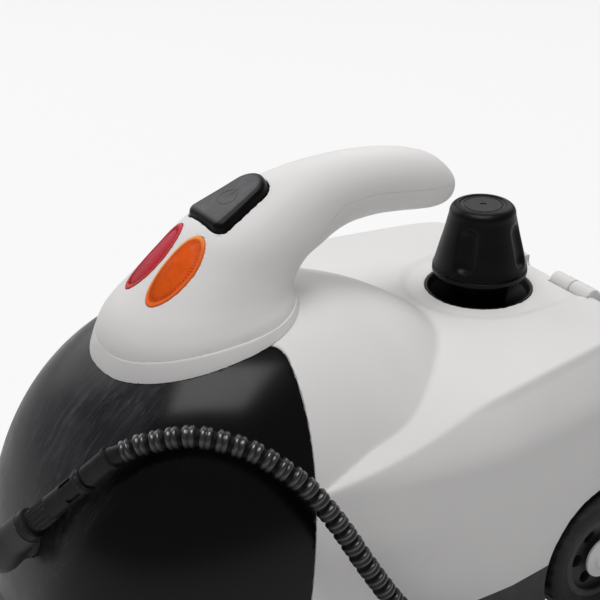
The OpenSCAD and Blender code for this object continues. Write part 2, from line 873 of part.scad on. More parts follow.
module thermostat() {
    color([0.85, 0.83, 0.78]) deck_frame() translate([-34, boiler_y - 30, boiler_top]) {
        cylinder(r = 12, h = 3);
        cylinder(r = 9, h = 11);
        for (x = [-4, 4]) translate([x - 0.4, -3, 11]) cube([0.8, 6, 7]);
    }
}

module thermal_fuse() {
    color(steel) deck_frame() translate([34, boiler_y - 26, boiler_top]) {
        translate([-11, -4, 0]) cube([22, 8, 1.2]);
        translate([0, 0, 4]) rod_x(3, -9, 9);
        for (x = [-10, 10]) translate([x, 0, 4]) rod_x(0.8, -4, 4);
    }
}

valve_y = -160;
valve_half = 15;

module steam_pipe() {
    color(brass) deck_frame() translate([pipe_x, 0, pipe_z]) difference() {
        union() {
            rod_y(pipe_r, valve_y + valve_half, port_y);
            rod_y(pipe_r, socket_boss_y + 4, valve_y - valve_half);
        }
        rod_y(pipe_bore, -300, -90);
    }
}

module steam_valve() {
    color(brass) deck_frame() translate([pipe_x, valve_y, pipe_z]) difference() {
        union() {
            translate([-12, -valve_half, -11]) cube([24, 2 * valve_half, 22]);
            cylinder_span(10, 11, 34);
            cylinder_span(4, 34, 38);
        }
        rod_y(pipe_bore, -20, 20);
    }
}

module hose_socket() {
    color(charcoal) deck_frame() translate([pipe_x, 0, pipe_z]) difference() {
        union() {
            rod_y(socket_r, socket_face_y, socket_boss_y + 4);
            rod_y(socket_r + 4, socket_boss_y, socket_boss_y + 4);
        }
        rod_y(pipe_bore, -340, -200);
    }
}

// ---- elbow, cuffs and hose ----------------------------------------------------------------------
elbow_out = 22;
cuff_end = 69;
sleeve_start = 71;
sleeve_end = 89.5;
neck_out = 5;
neck_r_out = 4.6;
cuff_r = 6.2;
arch_dir = [0.54, 0.72, 0.44] / norm([0.54, 0.72, 0.44]);
elbow_row = elbow_p + [0, filler_y, deck_h];
neck_row = elbow_row + hose_dir * sleeve_end;
hose_start = neck_row + arch_dir * neck_out;

module hose_elbow() {
    color(charcoal) difference() {
        union() {
            translate(elbow_row) sphere(r = elbow_r - 0.6);
            translate(elbow_row) rod_y(socket_r, 0, elbow_r);
            translate(elbow_row) aim(hose_dir) cylinder(r = 9, h = elbow_out);
        }
        translate(elbow_row) sphere(r = pipe_bore + 1);
        translate(elbow_row) rod_y(pipe_bore, 0, elbow_r + over);
        translate(elbow_row) rod_y(socket_r + seat, elbow_r, 2 * elbow_r);
        translate(elbow_row) aim(hose_dir) cylinder(r = pipe_bore, h = elbow_out + over);
    }
}

module hose_cuff() {
    color(black) translate(elbow_row) aim(hose_dir) difference() {
        union() {
            cylinder_span(cuff_r, elbow_out, cuff_end);
            cylinder_span(cuff_r + 2.5, elbow_out, elbow_out + 5);
            cylinder_span(cuff_r + 0.6, cuff_end - 3, cuff_end - 1);
        }
        cylinder_span(hose_bore / 2, elbow_out - over, cuff_end + over);
        for (k = [0 : 3]) rotate([0, 0, 90 * k])
            translate([cuff_r - 1.2, -1.3, cuff_end - 14]) cube([3, 2.6, 9]);
    }
}

module hose_sleeve() {
    color(black) difference() {
        union() {
            translate(elbow_row) aim(hose_dir) {
                cylinder_span(cuff_r - 1.6, cuff_end, sleeve_start);
                cylinder_span(cuff_r - 0.3, sleeve_start, sleeve_end);
                cylinder_span(cuff_r + 0.3, sleeve_end - 2, sleeve_end);
            }
            translate(neck_row) sphere(r = neck_r_out + 0.3);
            translate(neck_row) aim(arch_dir) cylinder(r = neck_r_out, h = neck_out);
        }
        translate(elbow_row) aim(hose_dir) cylinder_span(hose_bore / 2, cuff_end - over, sleeve_end);
        translate(neck_row) sphere(r = hose_bore / 2 + 0.4);
        translate(neck_row) aim(arch_dir) cylinder(r = hose_bore / 2, h = neck_out + over);
    }
}

// Route of the hose over the front and down the side, to the coil; its points are placed for a
// casing 262 mm wide and a deck at 165 mm, and follow the casing when those sizes change
wider = casing_w / 2 - 131;
higher = deck_h - 165;
coil_c = [45 + wider, 305];
function beside(q) = q + [wider * ease((q[0] - 70) / 40), 0, higher * ease(q[2] / 150)];
function behind(q) = q + [wider * ease((90 - q[2]) / 40), 0, 0];
coil_out = 74;
lead = 12;
low_z = 6.8;
high_z = 19;
arch_route = concat([hose_start, hose_start + arch_dir * lead / 2, hose_start + arch_dir * lead], [for (q = [
    [82.5, -131.5, 180], [98.5, -111.5, 175], [110, -98, 165], [118, -87, 153], [126, -75, 133],
    [133, -62, 107], [139, -47, 81], [144, -28, 56], [148, -4, 34], [151, 26, 17], [153, 60, 9],
    [154, 98, 6.5], [152, 137, 6], [146, 174, 6], [137, 208, 6], [126.5, 238, 6.3], [120.5, 256, 6.6],
    [119, 269, 6.8], [119, 281, 6.8], [119, 293, 6.8]
]) beside(q)]);
// Route from the coil up into the gun
tail_route = [for (q = [
    [57, 231, 19], [69, 231, 19], [86, 231, 19], [104, 231, 19], [127, 229, 25], [144, 223, 40.5],
    [150, 215.5, 62], [145, 208, 82], [130, 202, 98], [116, 200, 104], [104, 200, 105], [98, 200, 105],
    [92, 200, 105]
]) behind(q)];

function lengths(p) =
    [for (i = 0, s = 0; i < len(p); s = s + (i + 1 < len(p) ? norm(p[i + 1] - p[i]) : 0), i = i + 1) s];

function at_length(p, l, s) =
    let (k = min(search_below(l, s), len(p) - 2)) p[k] + (p[k + 1] - p[k]) * (s - l[k]) / (l[k + 1] - l[k]);

function search_below(l, s) = len([for (v = l) if (v <= s) 1]) - 1;

// Points a step apart along a smooth curve through a route
function paced(route, count) =
    let (p = spline(route, 8), l = lengths(p), total = l[len(l) - 1])
    concat([for (i = [0 : count - 1]) at_length(p, l, total * i / count)], [p[len(p) - 1]]);

function unit(v) = v / norm(v);

// Ring of a tube round point i of a path; side keeps the rings from twisting
function tube_ring(p, i, r, sides, side) =
    let (t = unit(p[min(i + 1, len(p) - 1)] - p[max(i - 1, 0)]), a = unit(cross(side, t)), b = cross(t, a))
    [for (k = [0 : sides - 1])
        let (w = 360 * k / sides) p[i] + r * (a * cos(w) + b * sin(w))];

// Hollow tube: outer rings out, bore rings back, closed on itself
module tube(outer, inner) {
    n = len(outer[0]);
    rings = concat(outer, [for (i = [len(inner) - 1 : -1 : 0]) inner[i]]);
    m = len(rings);
    points = [for (r = rings) each r];
    polyhedron(points, [for (i = [0 : m - 1], k = [0 : n - 1])
        let (a = i * n + k, b = i * n + (k + 1) % n, j = ((i + 1) % m) * n, c = j + k, d = j + (k + 1) % n)
        each [[a, d, b], [a, c, d]]], convexity = 10);
}

// Ribbed hose along a route: a crest and a groove to each rib, plain ends
module ribbed_hose(route, side) {
    l = lengths(spline(route, 8));
    ribs = round(l[len(l) - 1] / rib_pitch);
    p = paced(route, 2 * ribs);
    last = 2 * ribs;
    tube([for (i = [0 : last]) tube_ring(p, i, hose_d / 2 - (i % 2 == 0 && i > 0 && i < last ? rib_depth : 0),
        8, side)], [for (i = [0 : 4 : last - 1]) tube_ring(p, i, hose_bore / 2, 8, side),
        tube_ring(p, last, hose_bore / 2, 8, side)]);
}

module steam_hose() { color(black) ribbed_hose(arch_route, [1, 0, 0]); }

module hose_tail() { color(black) ribbed_hose(tail_route, [0, 1, 0]); }

// Coil: spirals in on the floor and out again on top, climbing in the half turn between
coil_turns = 2.75;
coil_step = hose_d + 0.7;
turn_points = 24;
coil_last = coil_turns * turn_points;
function coil_point(i) =
    let (t = i / turn_points, r = coil_out - coil_step * min(t, coil_turns - t),
        z = low_z + (high_z - low_z) * ease((t - coil_turns / 2 + 0.25) / 0.5))
    [coil_c[0] + r * cos(360 * t), coil_c[1] + r * sin(360 * t), z];
coil_path = concat([[coil_c[0] + coil_out, coil_c[1] - lead, low_z]],
    [for (i = [0 : coil_last]) coil_point(i)],
    [[coil_c[0] + lead, coil_c[1] - coil_out, high_z]]);

// Least distance between turns that pass each other, less the hose diameter
coil_self_gap = min([for (i = [0 : len(coil_path) - 1], j = [0 : len(coil_path) - 1])
    if (abs(i - j) > 10) norm(coil_path[i] - coil_path[j])]) - hose_d;

module hose_coil() {
    echo("least gap of the coil to itself", coil_self_gap);
    last = len(coil_path) - 1;
    color(black) tube([for (i = [0 : last]) tube_ring(coil_path, i, hose_d / 2, 6, [0, 0, 1])],
        [for (i = [0 : last]) tube_ring(coil_path, i, hose_bore / 2, 6, [0, 0, 1])]);
}

// Strap round the bundle of turns
tie_turn = 0.5;
tie_t = 0.8;
tie_w = 16;

module hose_tie() {
    r0 = coil_out - coil_step * 1.5 - hose_d / 2 - 1.2;
    r1 = coil_out - coil_step * 0.25 - hose_d / 2 + hose_d + 1;
    h = high_z + hose_d / 2 + 1;
    color(charcoal) translate([coil_c[0], coil_c[1], 0]) rotate([0, 0, 360 * tie_turn]) difference() {
        translate([r0, -tie_w / 2, 0.05]) cube([r1 - r0, tie_w, h]);
        translate([r0 + tie_t, -tie_w, 0.05 + tie_t]) cube([r1 - r0 - 2 * tie_t, 2 * tie_w, h - 2 * tie_t]);
    }
}

// ---- steam gun ------------------------------------------------------------------------------------
// The gun frame has its origin on the barrel axis, X towards the hose
gun_front = -60;
gun_back = 75;
gun_wall = 2.5;
grip_x = 50;
grip_r = 14;
grip_len = 74;
grip_lean = 10;
nozzle_r = 9;
nozzle_tip = -95;
nozzle_bore = 4;
trigger_x = 24;
trigger_z = -12;
trigger_w = 12;

module gun_frame() { deck_frame() translate([0, gun_y, gun_z]) children(); }

module gun_body(grow) {
    rod_x(barrel_r + grow, gun_front - grow, gun_back + grow);
    translate([grip_x, 0, 0]) rotate([0, -grip_lean, 0]) {
        cylinder_span(grip_r + grow, -grip_len, 0);
        translate([0, 0, -grip_len]) sphere(r = grip_r + grow);
    }
}

module gun_shell(side) {
    gun_frame() intersection() {
        difference() {
            gun_body(0);
            gun_body(-gun_wall);
            rod_x(nozzle_r + 0.2, gun_front - over, gun_front + 10);
            rod_x(8.2, gun_back - 10, gun_back + over);
            translate([trigger_x - 7, -trigger_w / 2 - 0.6, -40]) cube([17, trigger_w + 1.2, 36]);
            translate([trigger_x, 0, trigger_z]) rod_y(1.8, -13, 13);
        }
        translate([-150, side > 0 ? 0 : -100, -150]) cube([300, 100, 300]);
    }
}

module gun_shell_rear() { color(black) gun_shell(1); }

module gun_shell_front() { color(black) gun_shell(-1); }

module gun_trigger() {
    color([0.35, 0.35, 0.36]) gun_frame() translate([trigger_x, 0, trigger_z]) difference() {
        union() {
            rod_y(4, -trigger_w / 2, trigger_w / 2);
            translate([-3, -trigger_w / 2, -44]) cube([6, trigger_w, 42]);
            translate([0, 0, -44]) rod_y(3, -trigger_w / 2, trigger_w / 2);
        }
        rod_y(1.8 + run_gap, -20, 20);
    }
}

module gun_trigger_pin() {
    color(steel) gun_frame() translate([trigger_x, 0, trigger_z]) rod_y(1.8, -12.9, 12.9);
}

module gun_nozzle() {
    color(charcoal) gun_frame() difference() {
        union() {
            rod_x(nozzle_r, nozzle_tip, gun_front + 12);
            rod_x(nozzle_r + 4, gun_front - 6, gun_front);
            rod_x(nozzle_r + 2.5, gun_front + 3, gun_front + 12);
        }
        rod_x(nozzle_bore, nozzle_tip - over, gun_front + 20);
    }
}

module gun_valve() {
    color(brass) gun_frame() difference() {
        union() {
            rod_x(5, gun_front + 12, trigger_x + 7);
            rod_x(9, trigger_x + 7, trigger_x + 26);
            rod_x(5, trigger_x + 26, gun_back - 12);
        }
        rod_x(nozzle_bore - 1, gun_front, gun_back);
    }
}

module gun_inlet() {
    color(charcoal) gun_frame() difference() {
        union() {
            rod_x(8, gun_back - 12, 92);
            rod_x(11, gun_back - 12, gun_back - 4.5);
            rod_x(10, gun_back, gun_back + 5);
        }
        rod_x(hose_bore / 2, 0, 100);
    }
}

saddle_w = 8;
saddles = [-44, 2];
plate_y = 54.3;
plate_t = 3.5;

module gun_holder() {
    color(white) {
        gun_frame() for (x = saddles) difference() {
            union() {
                rod_x(barrel_r + 3, x, x + saddle_w);
                translate([x, plate_y - gun_y, -barrel_r - 3]) cube([saddle_w, gun_y - plate_y, 24]);
            }
            rod_x(barrel_r + seat, x - over, x + saddle_w + over);
            translate([x - over, -barrel_r - 5, 3]) cube([saddle_w + 2 * over, 60, 40]);
        }
        deck_frame() {
            translate([-54, plate_y, -90]) cube([108, plate_t, 90 + lug_z - 6]);
            both_sides() {
                for (s = lug_spans) translate([0, lug_y, lug_z]) rod_x(lug_r, s[0], s[1]);
                translate([lug_spans[0][0] + 1, lug_y + 2, lug_z - 3]) cube([32.5, plate_y - lug_y, 5]);
                translate([lug_spans[0][0] + 1, plate_y, lug_z - 18]) cube([32.5, plate_t, 17]);
            }
        }
    }
}

// ---- cord gland and terminal block -----------------------------------------------------------------
gland_x = -30;
gland_z = 36 - deck_h;
gland_r = 9;
gland_neck_r = 6.5;
gland_bore = 7.6;

module cord_gland() {
    color(black) deck_frame() translate([gland_x, 0, gland_z]) difference() {
        union() {
            rod_y(gland_neck_r, 47, 54);
            rod_y(gland_r, 53.4, 58);
            rod_y(gland_r - 2, 58, 72);
            rod_y(gland_r, 47, 50.2);
        }
        rod_y(gland_bore / 2, 40, 80);
    }
}

module terminal_block() {
    color([0.9, 0.88, 0.8]) deck_frame() translate([-60, -180, tray_z + tray_floor]) difference() {
        translate([-22, -10, 0]) cube([44, 20, 14]);
        for (x = [-15, -5, 5, 15]) translate([x, 0, 4]) cylinder(r = 2.5, h = 20);
        for (x = [-15, -5, 5, 15]) translate([x, 0, 5]) rod_y(2, -20, 20);
    }
}

// ---- running gear ----------------------------------------------------------------------------------
tyre_r = tyre_d / 2;
rim_r = tyre_r - 13;
axle_r = axle_d / 2;
wheel_x = well_x + 15;
axle_end = wheel_x + tyre_w / 2 - 2;

module rear_axle() {
    color(steel) deck_frame() translate([0, wheel_y, wheel_z]) rod_x(axle_r, -axle_end, axle_end);
}

module wheel(side) {
    deck_frame() translate([0, wheel_y, wheel_z]) scale([side, 1, 1]) difference() {
        union() {
            rod_x(rim_r, wheel_x - 8, wheel_x + 8);
            rod_x(axle_r + 5, well_x + 0.4, wheel_x + 8);
        }
        for (s = [-1, 1]) translate([wheel_x + s * 7, 0, 0]) difference() {
            rod_x(rim_r - 4, -3, 3);
            rod_x(axle_r + 5, -4, 4);
        }
        for (k = [0 : 5]) rotate([60 * k, 0, 0]) translate([0, 16, 0]) rod_x(4, wheel_x - 10, wheel_x + 10);
        rod_x(axle_r + run_gap, 0, 200);
    }
}

module tyre(side) {
    deck_frame() translate([0, wheel_y, wheel_z]) scale([side, 1, 1])
        translate([wheel_x, 0, 0]) rotate([0, 90, 0]) rotate_extrude($fn = 96) polygon(concat([[rim_r, -8]],
            [for (t = [-90 : 15 : 0]) [tyre_r - 4 + 4 * cos(t), -tyre_w / 2 + 4 + 4 * sin(t)]],
            [for (t = [0 : 15 : 90]) [tyre_r - 4 + 4 * cos(t), tyre_w / 2 - 4 + 4 * sin(t)]],
            [[rim_r, 8]]));
}

module hub_cap(side) {
    deck_frame() translate([0, wheel_y, wheel_z]) scale([side, 1, 1]) difference() {
        union() {
            rod_x(13, wheel_x + 8, wheel_x + 10);
            rod_x(axle_r + 3, wheel_x + 8, wheel_x + 12);
        }
        rod_x(axle_r + run_gap, 0, axle_end + 0.5);
    }
}

module wheel_left() { color(charcoal) wheel(1); }

module wheel_right() { color(charcoal) wheel(-1); }

module tyre_left() { color(black) tyre(1); }

module tyre_right() { color(black) tyre(-1); }

module hub_cap_left() { color(white) hub_cap(1); }

module hub_cap_right() { color(white) hub_cap(-1); }

caster_r = caster_d / 2;
caster_z = caster_r - deck_h;
caster_w = 13;
caster_pin_r = 2.5;
fork_x = caster_w / 2 + 0.6;
fork_t = 3;

module caster_fork() {
    roof = caster_roof - 0.3;
    color(steel) deck_frame() translate([0, caster_y, 0]) difference() {
        union() {
            cylinder_span(stem_r, roof - over, stem_top);
            cylinder_span(13, roof - 3, roof);
            both_sides() {
                translate([fork_x, -7, roof - 3]) cube([fork_t, 19, 3]);
                translate([fork_x, 0, 0]) hanger(roof);
            }
        }
        translate([0, caster_trail, caster_z]) rod_x(caster_pin_r, -30, 30);
    }
}

// Side plate of the fork, from the roof down round the pin
module hanger(roof) {
    r = 6;
    translate([fork_t / 2, 0, 0]) along_x(concat([[-7, roof], [-7, roof - 4]],
        [for (t = [210 : 15 : 360]) [caster_trail + r * cos(t), caster_z + r * sin(t)]],
        [[caster_trail + r, roof]]), fork_t);
}

module caster_wheel() {
    color(black) deck_frame() translate([0, caster_y + caster_trail, caster_z]) difference() {
        union() {
            rod_x(caster_r, -caster_w / 2 + 1, caster_w / 2 - 1);
            rod_x(caster_r - 1, -caster_w / 2, caster_w / 2);
        }
        rod_x(caster_pin_r + run_gap, -20, 20);
        for (s = [-1, 1]) translate([s * caster_w / 2, 0, 0]) difference() {
            rod_x(caster_r - 4, -2, 2);
            rod_x(5, -3, 3);
        }
    }
}

module caster_axle() {
    x = fork_x + fork_t;
    color(steel) deck_frame() translate([0, caster_y + caster_trail, caster_z]) {
        rod_x(caster_pin_r, -x, x);
        both_sides() rod_x(caster_pin_r + 1.5, x, x + 1.5);
    }
}

base_tray();
rear_casing();
front_hood();
handle_collar();
handle_upper();
handle_lower();
handle_screws();
power_button();
power_switch();
red_lens();
amber_lens();
lamp_board();
filler_funnel();
cap_grip();
cap_core();
cap_seal();
relief_valve();
boiler_lower();
boiler_upper();
boiler_gasket();
boiler_bolts();
boiler_neck();
boiler_legs();
heating_element();
thermostat();
thermal_fuse();
steam_pipe();
steam_valve();
hose_socket();
hose_elbow();
hose_cuff();
hose_sleeve();
steam_hose();
hose_coil();
hose_tail();
hose_tie();
gun_shell_rear();
gun_shell_front();
gun_trigger();
gun_trigger_pin();
gun_nozzle();
gun_valve();
gun_inlet();
gun_holder();
cord_gland();
terminal_block();
rear_axle();
wheel_left();
wheel_right();
tyre_left();
tyre_right();
hub_cap_left();
hub_cap_right();
caster_fork();
caster_wheel();
caster_axle();
case_screws();
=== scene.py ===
"""Moulded shells, hose, finishes and stage of a canister wallpaper steamer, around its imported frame."""

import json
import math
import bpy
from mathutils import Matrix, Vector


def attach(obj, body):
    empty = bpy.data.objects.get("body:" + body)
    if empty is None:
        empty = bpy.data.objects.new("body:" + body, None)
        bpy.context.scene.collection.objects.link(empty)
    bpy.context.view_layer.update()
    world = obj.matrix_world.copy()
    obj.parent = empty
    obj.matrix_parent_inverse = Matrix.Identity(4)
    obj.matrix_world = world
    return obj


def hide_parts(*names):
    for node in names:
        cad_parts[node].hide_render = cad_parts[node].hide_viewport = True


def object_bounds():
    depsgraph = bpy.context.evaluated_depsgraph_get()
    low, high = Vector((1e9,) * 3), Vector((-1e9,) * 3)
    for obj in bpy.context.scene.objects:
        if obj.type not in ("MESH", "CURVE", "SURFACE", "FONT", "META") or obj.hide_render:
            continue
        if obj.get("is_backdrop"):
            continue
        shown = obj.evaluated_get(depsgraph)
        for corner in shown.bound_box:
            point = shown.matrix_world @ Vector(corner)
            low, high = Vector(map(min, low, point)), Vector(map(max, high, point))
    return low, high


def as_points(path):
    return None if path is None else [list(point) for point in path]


bl_info = {
    "name": "Wallpaper steamer",
    "version": (1, 0, 0),
    "blender": (4, 5, 0),
    "location": "View3D > Sidebar > Steamer",
    "description": "Builds the moulded shells, hose, finishes and stage of a canister steamer",
    "category": "Object",
}

from functools import reduce

import bmesh
import bpy
import numpy as np
from mathutils import Matrix, Vector

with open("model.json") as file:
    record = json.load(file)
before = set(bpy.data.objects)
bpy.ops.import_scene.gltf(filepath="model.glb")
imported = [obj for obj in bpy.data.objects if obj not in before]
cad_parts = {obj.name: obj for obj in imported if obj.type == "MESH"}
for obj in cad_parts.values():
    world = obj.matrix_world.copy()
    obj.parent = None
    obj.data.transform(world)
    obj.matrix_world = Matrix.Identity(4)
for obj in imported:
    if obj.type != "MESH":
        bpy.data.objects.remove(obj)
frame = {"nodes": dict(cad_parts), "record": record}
CAD_BOX = [list(corner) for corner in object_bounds()]

# ---- sizes of the moulded forms, in millimetres in the deck frame --------------------------------
# The deck frame has its origin on the filler axis at deck height
MM = 0.001
DECK = np.array([0.0, 114.0, 165.0])
WALL = 2.5
SPLIT_Z = 52 - DECK[2]
TRAY_Z = 20 - DECK[2]
SEAM_GAP = 0.5
SEAM_Y, SEAM_LEAN = -180.0, 0.22
CASING_FRONT = -205.0
SOCKET_X, SOCKET_Z = 14.0, -62.0

DOME_W, DOME_L, DOME_P = 242.0, 306.0, 2.5
DOME_Y, DOME_C, DOME_Z = -163.0, 190.0, 38.0 - 190.0
RIDGE_FLARE, RIDGE_L, RIDGE_START, RIDGE_BLEND = 31.0, 185.0, 10.0, 50.0
COLLAR_FRONT, COLLAR_REAR, COLLAR_LIP = 7.5, 3.5, 0.6

WAIST_Y, CASING_W = -75.0, 262.0
FALL_Y, FALL_SLOPE, FALL_SOFT = -72.0, 0.36, 40.0
# Height, half width less half the casing's, length behind the waist, draw-in to front and rear
CASING_LEVELS = np.array([
    [-152, -1, 128, 0.0008, 0.0008], [-100, 0, 129, 0.0009, 0.0008], [-60, 0, 129, 0.0015, 0.0009],
    [-25, -1.5, 127, 0.00235, 0.0012], [-12, -9, 123.5, 0.0024, 0.0014], [0, -19, 120, 0.0024, 0.0015],
])
RECESS_DEPTH, RECESS_R, FILLER_R = 1.5, 48.0, 33.0
WELL_X, WELL_R, WHEEL_Y, WHEEL_Z = 103.0, 45.0, -2.0, 40 - DECK[2]
LUG_Y, LUG_Z, LUG_R, LUG_SPAN = 46.5, -2.0, 5.9, (17.6, 51.9)

# Stations up the handle: front or top edge y, z; rear or under edge y, z; half width
HANDLE_STATIONS = np.array([
    [-253, 4, -139, 22, 50.5], [-252.5, 16, -141, 34, 49.5], [-249, 32, -142.5, 42, 46],
    [-242, 43, -143, 46, 42], [-230, 54, -141, 50, 38], [-213, 69, -137, 54, 34],
    [-196, 83.5, -131, 58, 31], [-176, 92.5, -122.5, 61, 28], [-152, 100, -113.5, 64, 24],
    [-130, 104, -104, 66, 21], [-110, 105, -95, 66.5, 19.5], [-91, 104.5, -84, 66.5, 19],
    [-72, 102, -70, 65, 18.5], [-55, 98, -57, 63, 17.8], [-42, 92.5, -45, 61.5, 16],
    [-34, 86, -36.5, 62.5, 13.5], [-29, 80, -30.5, 66, 9], [-26.5, 74, -27, 71, 3],
])
HANDLE_P = 2.2
PART_LINE = [(-10, 72.5), (-22, 72.5), (-40, 77), (-60, 80), (-91, 85), (-115, 84), (-130, 74),
             (-142, 58), (-148, 44), (-150, 30), (-150, -10)]

BUTTON_PLACE, BUTTON_SLOPE = (-189.0, 82.0), 20.7
BUTTON_L, BUTTON_W, BUTTON_RISE, BUTTON_SINK, BUTTON_GAP = 40.0, 31.0, 7.0, 4.0, 0.4
BUTTON_CORNER, BUTTON_NOSE = 4.0, 11.5
LENS_PLACE, LENS_TILT, LENS_LEAN = (11.4, -213.2, 66.15), 40.9, 2.3
LENS_L, LENS_W, LENS_GAP, LENS_PROUD = 45.0, 19.0, 0.3, 0.6

COARSE = 1.0
# What the camera adds to the lit floor, so that it fades into the background
FLOOR_GLOW = 0.957


# ---- fields: negative inside, about the distance in millimetres outside --------------------------
def ease(t):
    u = np.clip(t, 0, 1)
    return u * u * (3 - 2 * u)


def join(a, b, blend):
    """The union of two fields with a fillet."""
    h = np.maximum(blend - np.abs(a - b), 0) / blend
    return np.minimum(a, b) - h * h * blend / 4


def meet(a, b, blend):
    """The intersection of two fields with a rounded edge."""
    return -join(-a, -b, blend)


def turn(u, v, degrees):
    """Coordinates in axes turned by an angle."""
    c, s = math.cos(math.radians(degrees)), math.sin(math.radians(degrees))
    return u * c + v * s, -u * s + v * c


def outline(points, u, v):
    """Signed distance to a closed outline."""
    points = np.asarray(points, float)
    best = np.full(np.broadcast(u, v).shape, 1e9)
    inside = np.zeros(best.shape, bool)
    for (au, av), (bu, bv) in zip(points, np.roll(points, -1, axis=0)):
        eu, ev = bu - au, bv - av
        if eu * eu + ev * ev < 1e-12:
            continue
        t = np.clip(((u - au) * eu + (v - av) * ev) / (eu * eu + ev * ev), 0, 1)
        best = np.minimum(best, (u - au - t * eu) ** 2 + (v - av - t * ev) ** 2)
        if ev != 0:
            crosses = ((av > v) != (bv > v)) & (u < (v - av) * eu / ev + au)
            inside ^= crosses
    return np.where(inside, -1, 1) * np.sqrt(best)


def arc(cu, cv, r, start, end, count=8):
    """Points on an arc, in degrees."""
    t = np.radians(np.linspace(start, end, count))
    return [(cu + r * math.cos(a), cv + r * math.sin(a)) for a in t]


def both(*fields):
    """What all the fields share, with sharp edges."""
    return reduce(np.maximum, fields)


def either(*fields):
    """What any of the fields holds."""
    return reduce(np.minimum, fields)


def cut(solid, *holes):
    """A field without others, with sharp edges."""
    return both(solid, *(-hole for hole in holes))


def carve(solid, hole, blend):
    """A field without another, with a rounded edge."""
    return meet(solid, -hole, blend)


def block(p, low, high):
    """A box between two corners."""
    return both(*(both(lo - q, q - hi) for q, lo, hi in zip(p, low, high)))


def dome(p, grow=0.0, rear_grow=None):
    """The dome of the hood and the scoop; grow may change from the nose to the rear."""
    x, y, z = p
    dy = y - DOME_Y
    zc = np.maximum(z - DOME_Z, 0)
    g = grow if rear_grow is None else grow + (rear_grow - grow) * ease((dy + 90) / 110)
    w = ease((dy - RIDGE_START) / RIDGE_BLEND)
    power = DOME_P * (1 - w) + 2 * w
    ahead = np.abs(dy / (DOME_L / 2 + g)) ** DOME_P
    front = np.maximum(1 - ahead, 0) ** (1 / DOME_P)
    rear = np.sqrt(np.maximum(1 - (dy / (RIDGE_L + g)) ** 2, 0))
    along = np.where(w == 0, ahead, 1 - (front * (1 - w) + rear * w) ** power)
    side = np.abs(x) / (DOME_W / 2 + g + RIDGE_FLARE * w)
    gauge = (side ** power + (zc / (DOME_C + g)) ** power + along) ** (1 / power)
    reach = np.sqrt(x * x + dy * dy + zc * zc)
    return np.maximum(reach * (1 - 1 / np.maximum(gauge, 1e-6)), np.abs(x) - DOME_W / 2 - g)


def level(z, column):
    """A size of the casing at a height, eased a little between its levels."""
    spread = (-5, -2.5, 0, 2.5, 5)
    return sum(np.interp(z + s, CASING_LEVELS[:, 0], CASING_LEVELS[:, column]) for s in spread) / len(spread)


def fall(y):
    d = np.maximum(FALL_Y - y, 0)
    return FALL_SLOPE * d * d / (d + FALL_SOFT)


def casing(p, corner=12):
    """The flat deck with its bevels, sides and rear."""
    x, y, z = p
    dy = y - WAIST_Y
    half = CASING_W / 2 + level(z, 1)
    back = half * (1 - level(z, 4) * np.maximum(dy, 0))
    behind = ((np.abs(x) / back) ** corner + (np.maximum(dy, 0) / level(z, 2)) ** corner) ** (1 / corner)
    side = np.where(dy > 0, (behind - 1) * back, np.abs(x) - (half - level(z, 3) * dy * dy))
    return meet(side, z + fall(y), 2.2)


def catmull(points, steps):
    """A Catmull-Rom curve through points, with steps pieces in each span."""
    p = np.asarray(points, float)
    n = len(p) - 1
    t = (np.arange(steps) / steps)[:, None]
    spans = []
    for i in range(n):
        a, b, c, d = p[max(i - 1, 0)], p[i], p[i + 1], p[min(i + 2, n)]
        spans.append(0.5 * (2 * b + (c - a) * t + (2 * a - 5 * b + 4 * c - d) * t * t
                            + (3 * b - a - 3 * c + d) * t ** 3))
    return np.vstack(spans + [p[-1:]])


